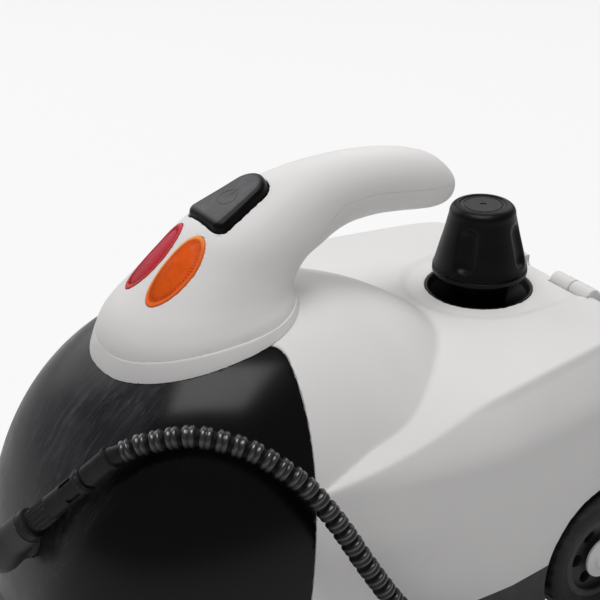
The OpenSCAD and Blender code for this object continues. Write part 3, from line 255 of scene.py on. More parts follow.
class HandleForm:
    """The swan-neck handle as a field: a side view of its sections, looked up from a fine grid."""

    step = 1.0
    low = np.array([-275.0, -15.0])
    high = np.array([0.0, 125.0])

    def __init__(self):
        s = catmull(HANDLE_STATIONS, 10)
        top, under, wide = s[:, 0:2], s[:, 2:4], s[:, 4]
        centre = (top + under) / 2
        half = np.linalg.norm(top - under, axis=1) / 2
        u = (top - under) / (2 * half[:, None])
        n = np.stack([u[:, 1], -u[:, 0]], 1)
        ys = np.arange(self.low[0], self.high[0] + self.step, self.step)
        zs = np.arange(self.low[1], self.high[1] + self.step, self.step)
        q = np.stack(np.meshgrid(ys, zs, indexing="ij"), -1).reshape(-1, 1, 2)
        ahead = ((q - centre) * n).sum(-1)
        along = ((q - centre) * u).sum(-1)
        passed = (ahead[:, :-1] > 0) & (ahead[:, 1:] <= 0)
        cost = np.where(passed, np.abs(along[:, :-1]) / half[:-1], 1e6)
        i = cost.argmin(1)
        row = np.arange(len(i))
        none = cost[row, i] > 1e5
        tip = none & (ahead[:, -1] > 0)
        lam = ahead[row, i] / np.maximum(ahead[row, i] - ahead[row, i + 1], 1e-9)
        lam = np.where(none, np.where(tip, 1.0, 0.0), lam)
        i = np.where(none, np.where(tip, len(s) - 2, 0), i)
        mix = lambda a, b: a * (1 - lam) + b * lam
        far = np.where(none & ~tip, 60.0, np.where(tip, ahead[:, -1], -60.0))
        table = [mix(along[row, i], along[row, i + 1]), mix(half[i], half[i + 1]),
                 mix(wide[i], wide[i + 1]), far]
        self.table = [t.reshape(len(ys), len(zs)) for t in table]

    def look(self, y, z):
        fy = np.clip((y - self.low[0]) / self.step, 0, self.table[0].shape[0] - 1.001)
        fz = np.clip((z - self.low[1]) / self.step, 0, self.table[0].shape[1] - 1.001)
        iy, iz = fy.astype(int), fz.astype(int)
        a, b = fy - iy, fz - iz
        return [t[iy, iz] * (1 - a) * (1 - b) + t[iy + 1, iz] * a * (1 - b) + t[iy, iz + 1] * (1 - a) * b
                + t[iy + 1, iz + 1] * a * b for t in self.table]

    def __call__(self, p, grow=0.0):
        x, y, z = np.broadcast_arrays(*p)
        along, half, wide, far = self.look(y, z)
        a, h = np.maximum(wide + grow, 0.5), np.maximum(half + grow, 0.5)
        gauge = ((np.abs(x) / a) ** HANDLE_P + (np.abs(along) / h) ** HANDLE_P) ** (1 / HANDLE_P)
        reach = np.hypot(x, along)
        away = np.where(gauge > 1e-4, reach * (1 - 1 / np.maximum(gauge, 1e-4)), -np.minimum(a, h))
        return meet(away, far - grow, 1.0)


handle = HandleForm()


def before_seam(p):
    """Negative in front of the seam; it runs round the foot of the handle with a soft corner."""
    _, y, z = p
    plane = (y - SEAM_Y - SEAM_LEAN * z) / math.hypot(1, SEAM_LEAN)
    return meet(plane, -handle(p, -1.2), 13.0)


# ---- meshes from fields --------------------------------------------------------------------------
def slope(field, points, eps=0.03):
    """Gradient of a field at points."""
    out = np.empty_like(points)
    for axis in range(3):
        shift = np.zeros(3)
        shift[axis] = eps
        out[:, axis] = (field(tuple((points + shift).T)) - field(tuple((points - shift).T))) / (2 * eps)
    return out


def contour(field, low, high, step):
    """Points and four-sided faces of the surface where a field is zero, with its sharp edges kept."""
    step = step * COARSE
    low, high = np.asarray(low, float) - 1.5 * step, np.asarray(high, float) + 1.5 * step
    count = np.ceil((high - low) / step).astype(int) + 1
    axes = [low[i] + step * np.arange(count[i]) for i in range(3)]
    value = np.empty(count, np.float32)
    slab = max(1, int(400000 / (count[1] * count[2])))
    for i in range(0, count[0], slab):
        grid = np.meshgrid(axes[0][i:i + slab], axes[1], axes[2], indexing="ij")
        value[i:i + slab] = field(tuple(grid))
    for axis in range(3):
        for end in (0, -1):
            edge = [slice(None)] * 3
            edge[axis] = end
            value[tuple(edge)] = np.maximum(value[tuple(edge)], 0.5 * step)
    inside = value < 0
    places, normals, cells, turned = [], [], [], []
    for axis in range(3):
        first = [slice(None)] * 3
        second = [slice(None)] * 3
        first[axis], second[axis] = slice(None, -1), slice(1, None)
        at = np.argwhere(inside[tuple(first)] != inside[tuple(second)])
        if not len(at):
            continue
        one = np.zeros(3, int)
        one[axis] = 1
        start = low + at * step
        f0, f1 = value[tuple(at.T)].astype(float), value[tuple((at + one).T)].astype(float)
        t0, t1 = np.zeros(len(at)), np.ones(len(at))
        for k in range(5):
            t = t0 + (t1 - t0) * f0 / (f0 - f1) if k % 2 == 0 else (t0 + t1) / 2
            f = field(tuple((start + (t * step)[:, None] * one).T))
            same = (f < 0) == (f0 < 0)
            t0, f0 = np.where(same, t, t0), np.where(same, f, f0)
            t1, f1 = np.where(same, t1, t), np.where(same, f1, f)
            f0 = np.where(f0 == f1, f0 - 1e-9, f0)
        t = t0 + (t1 - t0) * f0 / (f0 - f1)
        hit = start + (t * step)[:, None] * one
        normal = slope(field, hit)
        normal /= np.maximum(np.linalg.norm(normal, axis=1, keepdims=True), 1e-9)
        across = [np.eye(3, dtype=int)[(axis + k) % 3] for k in (1, 2)]
        corner = [at, at - across[0], at - across[0] - across[1], at - across[1]]
        places.append(hit)
        normals.append(normal)
        cells.append(np.stack([np.ravel_multi_index(tuple(c.T), tuple(count)) for c in corner], 1))
        turned.append(~inside[tuple(at.T)])
    places, normals, cells, turned = map(np.concatenate, (places, normals, cells, turned))
    used, faces = np.unique(cells, return_inverse=True)
    faces = faces.reshape(cells.shape)
    flat = faces.ravel()
    x, n = np.repeat(places, 4, axis=0), np.repeat(normals, 4, axis=0)
    total = lambda weights: np.bincount(flat, weights, len(used))
    number = total(None)
    mean = np.stack([total(x[:, i]) for i in range(3)], 1) / number[:, None]
    toward = np.stack([total(n[:, i]) for i in range(3)], 1) / number[:, None]
    reach = (n * x).sum(1)
    matrix = np.empty((len(used), 3, 3))
    for i in range(3):
        for j in range(i, 3):
            matrix[:, i, j] = matrix[:, j, i] = total(n[:, i] * n[:, j])
    right = np.stack([total(n[:, i] * reach) for i in range(3)], 1)
    right -= np.einsum("nij,nj->ni", matrix, mean)
    matrix += np.eye(3) * 0.06
    points = mean + np.linalg.solve(matrix, right[:, :, None])[:, :, 0]
    centre = low + (np.stack(np.unravel_index(used, tuple(count)), 1) + 0.5) * step
    points = np.clip(points, centre - 0.6 * step, centre + 0.6 * step)
    smooth = np.linalg.norm(toward, axis=1) > 0.985
    for _ in range(2):
        g = slope(field, points[smooth])
        f = field(tuple(points[smooth].T))
        points[smooth] -= g * (f / np.maximum((g * g).sum(1), 1e-6))[:, None]
    faces[turned] = faces[turned][:, ::-1]
    return points, faces


def to_mesh(name, points, faces, crisp=32.0):
    """A mesh in metres in the row frame from points in the deck frame."""
    mesh = bpy.data.meshes.new(name)
    faces = np.asarray(faces, np.int32)
    mesh.vertices.add(len(points))
    mesh.vertices.foreach_set("co", ((points + DECK) * MM).astype(np.float32).ravel())
    mesh.loops.add(faces.size)
    mesh.loops.foreach_set("vertex_index", faces.ravel())
    mesh.polygons.add(len(faces))
    mesh.polygons.foreach_set("loop_start", np.arange(0, faces.size, faces.shape[1], dtype=np.int32))
    mesh.polygons.foreach_set("use_smooth", np.ones(len(faces), bool))
    mesh.update(calc_edges=True)
    mesh.validate()
    mesh.set_sharp_from_angle(angle=math.radians(crisp))
    piece = bpy.data.objects.new(name, mesh)
    bpy.context.scene.collection.objects.link(piece)
    return piece


# ---- finishes ------------------------------------------------------------------------------------
class Wire:
    """A node's output, on which shader maths is written as Python expressions."""

    def __init__(self, nodes, maker, out):
        self.nodes, self.maker = nodes, maker
        self.socket = maker.outputs[out] if maker.outputs else None

    def _math(self, operation, *values):
        return self.nodes.node("ShaderNodeMath", {"operation": operation}, dict(enumerate(values)))

    def __add__(self, other):
        return self._math("ADD", self, other)

    def __sub__(self, other):
        return self._math("SUBTRACT", self, other)

    def __rsub__(self, other):
        return self._math("SUBTRACT", other, self)

    def __mul__(self, other):
        return self._math("MULTIPLY", self, other)

    __radd__, __rmul__ = __add__, __mul__

    def sine(self):
        return self._math("SINE", self)

    def least(self, other):
        return self._math("MINIMUM", self, other)


class Nodes:
    """A node tree that starts empty and gets every node from one method."""

    def __init__(self, owner):
        owner.use_nodes = True
        self.tree = owner.node_tree
        self.tree.nodes.clear()

    def node(self, kind, settings=None, sockets=None, out=0):
        """A node of a type with its settings and sockets, as the wire from one of its outputs."""
        made = self.tree.nodes.new(kind)
        for key, value in (settings or {}).items():
            setattr(made, key, value)
        for key, value in (sockets or {}).items():
            self.plug(made.inputs[key], value)
        return Wire(self, made, out)

    def plug(self, socket, value):
        """A wire or a constant into a socket."""
        if isinstance(value, Wire):
            self.tree.links.new(value.socket, socket)
        else:
            socket.default_value = value


class Finish(Nodes):
    """A material, its Principled shader and the few kinds of pattern that the finishes share."""

    def __init__(self, name, **constants):
        self.material = bpy.data.materials.new(name)
        super().__init__(self.material)
        self.shader = self.node("ShaderNodeBsdfPrincipled", {}, {
            key.replace("_", " "): value for key, value in constants.items()})
        self.output = self.node("ShaderNodeOutputMaterial", {}, {"Surface": self.shader})
        self.places = self.node("ShaderNodeTexCoord", out="Object")

    def feed(self, name, value, into=None):
        """A wire or a constant into the shader, or into another node."""
        self.plug((into or self.shader).maker.inputs[name], value)

    def stretched(self, scale, spin=(0, 0, 0)):
        """Coordinates scaled unevenly, in repeats a metre, and turned."""
        turned = self.node("ShaderNodeMapping", {"vector_type": "POINT"},
                           {"Vector": self.places, "Rotation": spin})
        return self.node("ShaderNodeVectorMath", {"operation": "MULTIPLY"}, {0: turned, 1: scale})

    def along(self, axes="XYZ"):
        """Places along the axes, in metres."""
        return [self.node("ShaderNodeSeparateXYZ", {}, {"Vector": self.places}, out=axis) for axis in axes]

    def noise(self, scale, detail=3.0, roughness=0.5, vector=None, lean=0.0):
        return self.node("ShaderNodeTexNoise", {}, {
            "Vector": vector or self.places, "Scale": scale, "Detail": detail, "Roughness": roughness,
            "Distortion": lean})

    def cells(self, scale, feature="F1"):
        return self.node("ShaderNodeTexVoronoi", {"feature": feature},
                         {"Vector": self.places, "Scale": scale}, out="Distance")

    def ramp(self, wire, low, high):
        """0 below low, 1 above high, with a soft rise."""
        return self.node("ShaderNodeMapRange", {"interpolation_type": "SMOOTHSTEP"},
                         {"Value": wire, "From Min": low, "From Max": high})

    def tint(self, amount, one, other):
        """A colour between two colours."""
        one, other = (end if isinstance(end, Wire) else (*end, 1.0) for end in (one, other))
        return self.node("ShaderNodeMix", {"data_type": "RGBA", "clamp_factor": True},
                         {0: amount, 6: one, 7: other}, out=2)

    def mark(self, name):
        """A value that the mesh carries at each point."""
        return self.node("ShaderNodeAttribute", {"attribute_name": name}, out="Fac")

    def done(self, colour, rough, height, depth):
        """The material, with its colour, its roughness and bumps whose full height is depth, in metres."""
        self.feed("Base Color", colour)
        self.feed("Roughness", rough)
        self.feed("Normal", self.node("ShaderNodeBump", {}, {
            "Height": height, "Distance": depth, "Strength": 1.0}))
        return self.material


def plastic(name, colour, other, rough, grain, cell, **constants):
    """Moulded plastic with a fine spark-eroded grain, faint flow marks and handling sheen."""
    f = Finish(name, **constants)
    flow = f.noise(9.0, 4.0, 0.6)
    grains = f.noise(cell, 2.0, 0.7)
    smudge = f.ramp(f.noise(26.0, 5.0, 0.62, lean=0.6), 0.42, 0.72)
    base = f.tint(f.ramp(flow, 0.35, 0.65), colour, other)
    speck = f.ramp(grains, 0.55, 0.85)
    return f.done(f.tint(speck * 0.10, base, tuple(min(1, c * 1.25) for c in colour)),
                  rough + 0.09 * smudge - 0.05 * grains,
                  grains + 0.6 * f.noise(cell * 0.35, 2.0), grain)


# ---- shared makers -------------------------------------------------------------------------------
def rounded(points, radius, steps=4):
    """A closed outline with its corners rounded."""
    p = np.asarray(points, float)
    made = []
    for before, corner, after in zip(np.roll(p, 1, axis=0), p, np.roll(p, -1, axis=0)):
        back, on = before - corner, after - corner
        lengths = np.linalg.norm(back), np.linalg.norm(on)
        if min(lengths) < 1e-6 or corner[0] < 1e-6:
            made.append(corner)
            continue
        cut = min(radius, 0.45 * min(lengths))
        a, b = corner + back / lengths[0] * cut, corner + on / lengths[1] * cut
        for t in np.linspace(0, 1, steps + 1):
            made.append((1 - t) ** 2 * a + 2 * t * (1 - t) * corner + t * t * b)
    return made


def axes_of(direction):
    """Two directions square to a direction, and the direction itself, each of length 1."""
    w = np.asarray(direction, float) / np.linalg.norm(direction)
    u = np.cross(w, (0, 0, 1) if abs(w[2]) < 0.9 else (0, 1, 0))
    u /= np.linalg.norm(u)
    return u, np.cross(w, u), w


def settle(piece, crisp):
    """Welds a mesh's doubled points and marks its sharp edges."""
    mesh = piece.data
    work = bmesh.new()
    work.from_mesh(mesh)
    bmesh.ops.remove_doubles(work, verts=work.verts, dist=2e-6)
    bmesh.ops.recalc_face_normals(work, faces=work.faces)
    work.to_mesh(mesh)
    work.free()
    mesh.validate()
    mesh.set_sharp_from_angle(angle=math.radians(crisp))
    return piece


def turned(name, profile, centre, direction, sides=96, crisp=40.0, wave=None):
    """A turned piece from a closed (radius, along) profile in millimetres, in the deck frame."""
    u, v, w = axes_of(direction)
    p = np.asarray(profile, float)
    angle = 2 * np.pi * np.arange(sides) / sides
    r = np.repeat(p[:, 0][None, :], sides, axis=0)
    if wave is not None:
        r = r + wave(angle[:, None], p[:, 0][None, :], p[:, 1][None, :])
    ring = np.cos(angle)[:, None] * u + np.sin(angle)[:, None] * v
    points = np.asarray(centre, float) + r[:, :, None] * ring[:, None, :] + p[None, :, 1, None] * w
    n = len(p)
    i, j = np.meshgrid(np.arange(sides), np.arange(n), indexing="ij")
    a, b = i * n + j, i * n + (j + 1) % n
    c, d = ((i + 1) % sides) * n + (j + 1) % n, ((i + 1) % sides) * n + j
    faces = np.stack([a, b, c, d], -1).reshape(-1, 4)
    return settle(to_mesh(name, points.reshape(-1, 3), faces, crisp), crisp)


def place(piece, body, slot, *nodes):
    """The piece rides on its body, takes its slot's finish and stands for its nodes."""
    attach(piece, body)
    if nodes:
        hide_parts(*nodes)
    piece.data.materials.clear()
    piece.data.materials.append(finish(slot))
    return piece


def form(name, field, low, high, step, body, slot, *nodes, crisp=32.0):
    """A moulded piece from a field, placed like any other."""
    return place(to_mesh(name, *contour(field, low, high, step), crisp=crisp), body, slot, *nodes)


def lathe(name, profile, soft, centre, direction, sides, body, slot, node):
    """A turned piece with softened corners, placed like any other."""
    place(turned(name, rounded(profile, soft), centre, direction, sides), body, slot, node)


def point_mark(piece, name, values):
    """Stores a value at each point of a mesh for its finish."""
    held = piece.data.attributes.new(name, "FLOAT", "POINT")
    held.data.foreach_set("value", np.asarray(values, np.float32))


def deck_points(piece):
    """Points of a mesh in millimetres in the deck frame."""
    co = np.empty(len(piece.data.vertices) * 3, np.float32)
    piece.data.vertices.foreach_get("co", co)
    return co.reshape(-1, 3).astype(float) / MM - DECK


def colour_of(name):
    return tuple(getattr(bpy.context.scene.steamer_colours, name))[:3]


def mixed(colour, factor, toward=(0.0, 0.0, 0.0)):
    return tuple(c * factor + t * (1 - factor) for c, t in zip(colour, toward))


# ---- finishes of the slots -----------------------------------------------------------------------
def white_plastic():
    """Satin white plastic with a fine grain, faint flow clouds and a slightly warm cast."""
    base = colour_of("casing")
    return plastic("white_plastic", base, mixed(base, 0.975), 0.50, 0.000018, 1700.0,
                   Specular_IOR_Level=0.30)


def black_gloss():
    """Polished smoky plastic with rubbed streaks and fine scratches; its lamp-facing front-left nose carries
    a wiped grey haze that is partly dust and partly painted reflection.
    """
    f = Finish("black_gloss", Specular_IOR_Level=0.20)
    x, y, z = f.along()
    # The nose mask faces the lamps: the grey haze laid there is partly painted reflection and partly dust.
    nose = f.ramp(x * -0.8 + y * -0.6 + z * 0.5, 0.118, 0.143)
    cloud = f.ramp(f.noise(24.0, 5.0, 0.62, lean=0.5), 0.30, 0.72)
    rubbed = f.noise(1.0, 5.0, 0.68, vector=f.stretched((330, 26, 330), (-0.82, 0, 0)))
    hair = f.ramp(f.noise(1.0, 2.0, 0.6, vector=f.stretched((1100, 50, 1100), (-0.7, 0.25, 0))), 0.66, 0.73)
    dust_and_painted_reflection = nose * (0.30 + 0.45 * cloud + 0.45 * f.ramp(rubbed, 0.42, 0.66))
    streak = (1.1 * hair + f.ramp(rubbed, 0.60, 0.70)) * (0.06 + 0.94 * nose)
    return f.done(f.tint((0.62 * dust_and_painted_reflection + 0.5 * streak).least(1.0), colour_of("hood"), (0.062, 0.062, 0.068)),
                  0.19 + 0.22 * dust_and_painted_reflection + 0.12 * streak + 0.04 * cloud,
                  f.noise(42.0, 2.0) + 0.10 * streak, 0.00005)


def soft_black():
    """Soft-touch key: dense matt black with a dusty bloom, and a paler crown on its top face that is a
    painted highlight.
    """
    f = Finish("soft_black", Sheen_Weight=0.02, Sheen_Roughness=0.35, Specular_IOR_Level=0.13)
    grain = f.noise(2600.0, 2.0, 0.7)
    bloom = f.ramp(f.noise(120.0, 4.0, 0.6), 0.45, 0.75)
    # Painted highlight: the crown mark lightens the key's top face.
    pale = (0.03 * bloom + (0.8 + 0.2 * bloom) * f.mark("crown")).least(1.0)
    return f.done(f.tint(pale, colour_of("button"), (0.115, 0.113, 0.118)),
                  0.30 + 0.10 * grain + 0.08 * bloom, grain + 0.5 * f.noise(900.0, 2.0), 0.00002)


def cap_black():
    """Heat-proof moulded grip: satin black with vertical drag marks and a little dust in the flutes."""
    f = Finish("cap_black", Specular_IOR_Level=0.18)
    drag = f.noise(1.0, 3.0, 0.6, vector=f.stretched((420, 420, 26)))
    grain = f.noise(2100.0, 2.0, 0.7)
    dust = f.ramp(f.noise(75.0, 4.0, 0.7), 0.5, 0.8)
    worn = 0.5 * dust + 0.2 * f.ramp(drag, 0.5, 0.8)
    return f.done(f.tint(worn, colour_of("cap"), (0.005, 0.0049, 0.0049)),
                  0.27 + 0.14 * drag + 0.08 * grain, 0.6 * grain + 0.5 * drag, 0.00003)


def hose_black():
    """Corrugated rubber: satin ridges, dull grooves darkened as painted shade, a little dust, a coat on the
    ridges' upper side as a painted highlight, and a fine moulded skin.
    """
    f = Finish("hose_black", Specular_IOR_Level=0.16, Coat_Roughness=0.26, Coat_IOR=1.85)
    crest = f.mark("crest")
    skin = f.noise(1400.0, 3.0, 0.7)
    dust = f.ramp(f.noise(160.0, 4.0, 0.65), 0.45, 0.8)
    # Painted highlight: the coat is laid mostly on the ridges' upper side.
    f.feed("Coat Weight", (crest * (0.12 + 0.88 * f.mark("rubbed"))).least(1.0))
    # Ridges paler than the grooves: painted shade in the grooves.
    pale = (0.75 * crest + 0.12 * dust).least(1.0)
    return f.done(f.tint(pale, (0.0012, 0.0012, 0.0014), colour_of("hose")),
                  0.58 - 0.2 * crest + 0.05 * skin, skin + 0.3 * f.noise(500.0, 2.0), 0.00005)


def tie_black():
    """Woven strap: two sets of crossing yarns with a slight nap."""
    f = Finish("tie_black", Sheen_Weight=0.3, Sheen_Roughness=0.5)
    x, y, z = f.along()
    warp = ((y * 5200.0).sine() * 0.5 + 0.5) * (((x + z) * 4200.0).sine() * 0.5 + 0.5)
    fuzz = f.noise(2400.0, 3.0, 0.7)
    return f.done(f.tint(0.6 * warp + 0.3 * fuzz, (0.012, 0.012, 0.013), (0.055, 0.055, 0.06)),
                  0.78 + 0.12 * fuzz, warp + 0.3 * fuzz, 0.00015)


def lens(name, colour, deep, edge, warm):
    """Translucent lamp cover: a deep core, radial optics inside its edge and a lighter rim; the core lightens
    and warms towards one side, and the rim's tone and the optics' darkness change from side to side, as
    painted light.
    """
    f = Finish(name, IOR=1.22, Specular_IOR_Level=0.2, Emission_Strength=0.06)
    rim, side, teeth, lit = (f.mark(word) for word in ("rim", "side", "teeth", "lit"))
    streak = f.noise(130.0, 4.0, 0.6, lean=0.7)
    # Painted light: the lit and side marks make one side of the cover lighter than the other.
    core = f.tint(f.ramp(0.75 * streak + 0.5 * lit, 0.32, 0.85), deep, colour)
    core = f.tint(0.5 * f.ramp(lit * streak, 0.38, 0.56), core, warm)
    core = f.tint((teeth * (0.75 - 0.5 * side)).least(1.0), core, mixed(deep, 0.45))
    edge_tone = f.tint(f.ramp(side + 0.3 * streak, 0.45, 1.0), mixed(colour, 0.85, (0.9, 0.3, 0.1)), edge)
    f.feed("Emission Color", f.tint(rim, mixed(colour, 0.55), mixed(edge, 0.8)))
    return f.done(f.tint(rim, core, edge_tone), 0.16 + 0.14 * streak,
                  0.6 * streak + 0.4 * f.noise(900.0, 2.0), 0.00005)


def board_green():
    """Printed board: solder resist over faint copper tracks."""
    f = Finish("board_green", Specular_IOR_Level=0.6)
    spun = f.stretched((160, 160, 160), (0.3, 0.2, 0))
    tracks = f.node("ShaderNodeTexBrick", {"offset": 0.5},
                    {"Vector": spun, "Scale": 1.0, "Mortar Size": 0.04}, out="Fac")
    return f.done(f.tint(tracks, (0.015, 0.10, 0.045), (0.05, 0.22, 0.09)),
                  0.34 + 0.1 * f.noise(700.0), tracks, 0.00005)


def metal(name, colour, other, rough, brush=(30, 700, 700)):
    """Bare metal with directional brushing, cloudy tarnish and a few dull spots."""
    f = Finish(name, Metallic=1.0)
    brushed = f.noise(1.0, 3.0, 0.65, vector=f.stretched(brush))
    cloud = f.ramp(f.noise(34.0, 5.0, 0.6), 0.35, 0.7)
    spots = f.ramp(f.noise(260.0, 3.0, 0.6), 0.62, 0.78)
    return f.done(f.tint((cloud * 0.7 + spots * 0.3).least(1.0), colour, other),
                  rough + 0.16 * brushed + 0.12 * spots, brushed, 0.00002)


def rubber(name, colour, bloom, rough=0.72, depth=0.00006):
    """Rubber with a fine skin, mould bloom and scuffs."""
    f = Finish(name, Specular_IOR_Level=0.4)
    skin = f.noise(1300.0, 3.0, 0.7)
    pale = f.ramp(f.noise(48.0, 5.0, 0.65, lean=0.5), 0.46, 0.76)
    scuff = f.ramp(f.noise(1.0, 3.0, 0.6, vector=f.stretched((90, 500, 500))), 0.62, 0.75)
    return f.done(f.tint((0.55 * pale + 0.35 * scuff).least(1.0), colour, bloom),
                  rough + 0.12 * skin - 0.10 * scuff, skin + 0.5 * f.noise(420.0, 2.0), depth)


def heater():
    """Oxidised heater sheath: blotchy heat scale over dark metal."""
    f = Finish("heater", Metallic=0.6)
    scale = f.ramp(f.noise(90.0, 5.0, 0.7), 0.4, 0.7)
    fine = f.noise(1500.0, 3.0, 0.7)
    return f.done(f.tint(scale, (0.13, 0.115, 0.11), (0.06, 0.05, 0.05)),
                  0.5 + 0.2 * scale + 0.1 * fine, fine + scale, 0.00005)


def ceramic():
    """Glazed ceramic: warm white with pin holes and a soft glaze ripple."""
    f = Finish("ceramic", Coat_Weight=0.35, Coat_Roughness=0.15)
    pins = f.ramp(f.cells(420.0), 0.05, 0.16)
    cloud = f.noise(60.0, 4.0, 0.6)
    glaze = f.tint(f.ramp(cloud, 0.35, 0.7), (0.76, 0.73, 0.66), (0.70, 0.66, 0.58))
    return f.done(f.tint(pins, (0.45, 0.40, 0.33), glaze), 0.32 + 0.12 * cloud, cloud + 0.3 * pins, 0.00006)


def leathery(name, colour, other, rough=0.5, size=900.0):
    """Dark moulded plastic with a pebbled grain and polished high spots."""
    f = Finish(name, Specular_IOR_Level=0.42)
    pebble = f.cells(size, "SMOOTH_F1")
    fine = f.noise(2200.0, 2.0, 0.7)
    shine = f.ramp(f.noise(30.0, 5.0, 0.6, lean=0.4), 0.42, 0.74)
    return f.done(f.tint(0.7 * shine + 0.25 * pebble, colour, other),
                  rough + 0.12 * pebble - 0.08 * shine + 0.04 * fine, pebble + 0.25 * fine, 0.00007)


def lamp_lens(name, lamp, deep, edge, warm):
    """A lens whose deep, edge and warm colours are mixed from its lamp's colour."""
    base = colour_of(lamp)
    return lens(name, base, *(mixed(base, *blend) for blend in (deep, edge, warm)))


FINISHES = {
    "red_lens": (lamp_lens, "red_lamp", (0.74,), (0.80, (0.85, 0.22, 0.24)), (0.75, (0.8, 0.2, 0.25))),
    "amber_lens": (lamp_lens, "amber_lamp", (0.70,), (0.0, (0.92, 0.36, 0.10)), (0.72, (0.9, 0.42, 0.38))),
    "steel": (metal, (0.56, 0.57, 0.59), (0.44, 0.45, 0.47), 0.26),
    "brass": (metal, (0.62, 0.44, 0.17), (0.42, 0.27, 0.09), 0.28, (600, 600, 40)),
    "seal_rubber": (rubber, (0.045, 0.040, 0.038), (0.085, 0.075, 0.07), 0.55, 0.00003),
    "tyre_rubber": (rubber, (0.016, 0.016, 0.017), (0.055, 0.054, 0.052)),
    "gun_black": (leathery, (0.014, 0.014, 0.016), (0.032, 0.032, 0.035)),
    "gun_grey": (leathery, (0.10, 0.10, 0.105), (0.14, 0.14, 0.145), 0.42, 1300.0),
    "charcoal_plastic": (leathery, (0.026, 0.026, 0.028), (0.046, 0.046, 0.05), 0.52, 1100.0),
}
OWN_FINISHES = {maker.__name__: maker for maker in (
    white_plastic, black_gloss, soft_black, cap_black, hose_black, tie_black, board_green, heater, ceramic)}
READY = {}


def finish(slot):
    """The material of a slot, made when it is first asked for."""
    if slot not in READY:
        if slot in OWN_FINISHES:
            READY[slot] = OWN_FINISHES[slot]()
        else:
            maker, *looks = FINISHES[slot]
            READY[slot] = maker(slot, *looks)
    return READY[slot]


# ---- steam hose ----------------------------------------------------------------------------------
HOSE_R, HOSE_BORE_R, GROOVE_R, RIB_PITCH = 5.75, 3.0, 4.15, 8.1
ELBOW = np.array([SOCKET_X, -322.0, SOCKET_Z]) + DECK
HOSE_DIR = np.array([0.49, 0.51, 0.71]) / np.linalg.norm([0.49, 0.51, 0.71])
ARCH_DIR = np.array([0.54, 0.72, 0.44]) / np.linalg.norm([0.54, 0.72, 0.44])
ELBOW_OUT, CUFF_END, SLEEVE_START, SLEEVE_END, NECK_OUT, LEAD = 22.0, 69.0, 71.0, 89.5, 5.0, 12.0
CUFF_R, NECK_R, ELBOW_R, SOCKET_R = 6.2, 4.6, 13.0, 9.0
HOSE_START = ELBOW + HOSE_DIR * SLEEVE_END + ARCH_DIR * NECK_OUT
ARCH_ROUTE = [
    HOSE_START, HOSE_START + ARCH_DIR * LEAD / 2, HOSE_START + ARCH_DIR * LEAD,
    (82.5, -131.5, 180), (98.5, -111.5, 175), (110, -98, 165), (118, -87, 153), (126, -75, 133),
    (133, -62, 107), (139, -47, 81), (144, -28, 56), (148, -4, 34), (151, 26, 17), (153, 60, 9),
    (154, 98, 6.5), (152, 137, 6), (146, 174, 6), (137, 208, 6), (126.5, 238, 6.3), (120.5, 256, 6.6),
    (119, 269, 6.8), (119, 281, 6.8), (119, 293, 6.8),
]
TAIL_ROUTE = [
    (57, 231, 19), (69, 231, 19), (86, 231, 19), (104, 231, 19), (127, 229, 25), (144, 223, 40.5),
    (150, 215.5, 62), (145, 208, 82), (130, 202, 98), (116, 200, 104), (104, 200, 105), (98, 200, 105),
    (92, 200, 105),
]
COIL_C, COIL_OUT, COIL_STEP, COIL_TURNS, LOW_Z, HIGH_Z = (45.0, 305.0), 74.0, 12.2, 2.75, 6.8, 19.0


def coil_line(points_a_turn=48):
    """The coil, in on the floor and out again on top of itself."""
    t = np.arange(int(COIL_TURNS * points_a_turn) + 1) / points_a_turn
    r = COIL_OUT - COIL_STEP * np.minimum(t, COIL_TURNS - t)
    z = LOW_Z + (HIGH_Z - LOW_Z) * ease((t - COIL_TURNS / 2 + 0.25) / 0.5)
    return np.stack([COIL_C[0] + r * np.cos(2 * np.pi * t), COIL_C[1] + r * np.sin(2 * np.pi * t), z], 1)


def hose_line(spacing):
    """Evenly spaced points down the middle of the hose, in millimetres in the row frame."""
    route = [np.vstack(catmull([np.asarray(q, float) for q in ARCH_ROUTE], 8)), coil_line(),
             np.vstack(catmull(TAIL_ROUTE, 8))]
    route = np.vstack(route)
    keep = np.r_[True, np.linalg.norm(np.diff(route, axis=0), axis=1) > 0.2]
    route = route[keep]
    run = np.r_[0, np.cumsum(np.linalg.norm(np.diff(route, axis=0), axis=1))]
    count = int(round(run[-1] / spacing))
    at = np.linspace(0, run[-1], count + 1)
    line = np.stack([np.interp(at, run, route[:, i]) for i in range(3)], 1)
    for _ in range(6):
        line[1:-1] = 0.25 * line[:-2] + 0.5 * line[1:-1] + 0.25 * line[2:]
    return line, at


def frames_along(line):
    """Directions across a line that don't twist."""
    t = np.gradient(line, axis=0)
    t /= np.linalg.norm(t, axis=1, keepdims=True)
    side = np.empty_like(t)
    side[0] = axes_of(t[0])[0]
    for i in range(1, len(t)):
        s = side[i - 1] - t[i] * np.dot(side[i - 1], t[i])
        side[i] = s / np.linalg.norm(s)
    return side, np.cross(t, side)


def rib_profile(s):
    """Radius and crest mark along the hose: two ridges with a notch between them, then a groove."""
    u = np.mod(s, RIB_PITCH)
    first = np.exp(-((u - 2.2) / 1.2) ** 4)
    second = np.exp(-((u - 5.3) / 1.2) ** 4)
    shoulder = ease((u - 0.4) / 1.0) * (1 - ease((u - 6.1) / 1.0))
    r = GROOVE_R + 0.85 * shoulder + (HOSE_R - GROOVE_R - 0.85) * np.maximum(first, 0.85 * second)
    return r, np.clip(0.12 * shoulder + 0.88 * np.maximum(first, 0.9 * second), 0, 1)


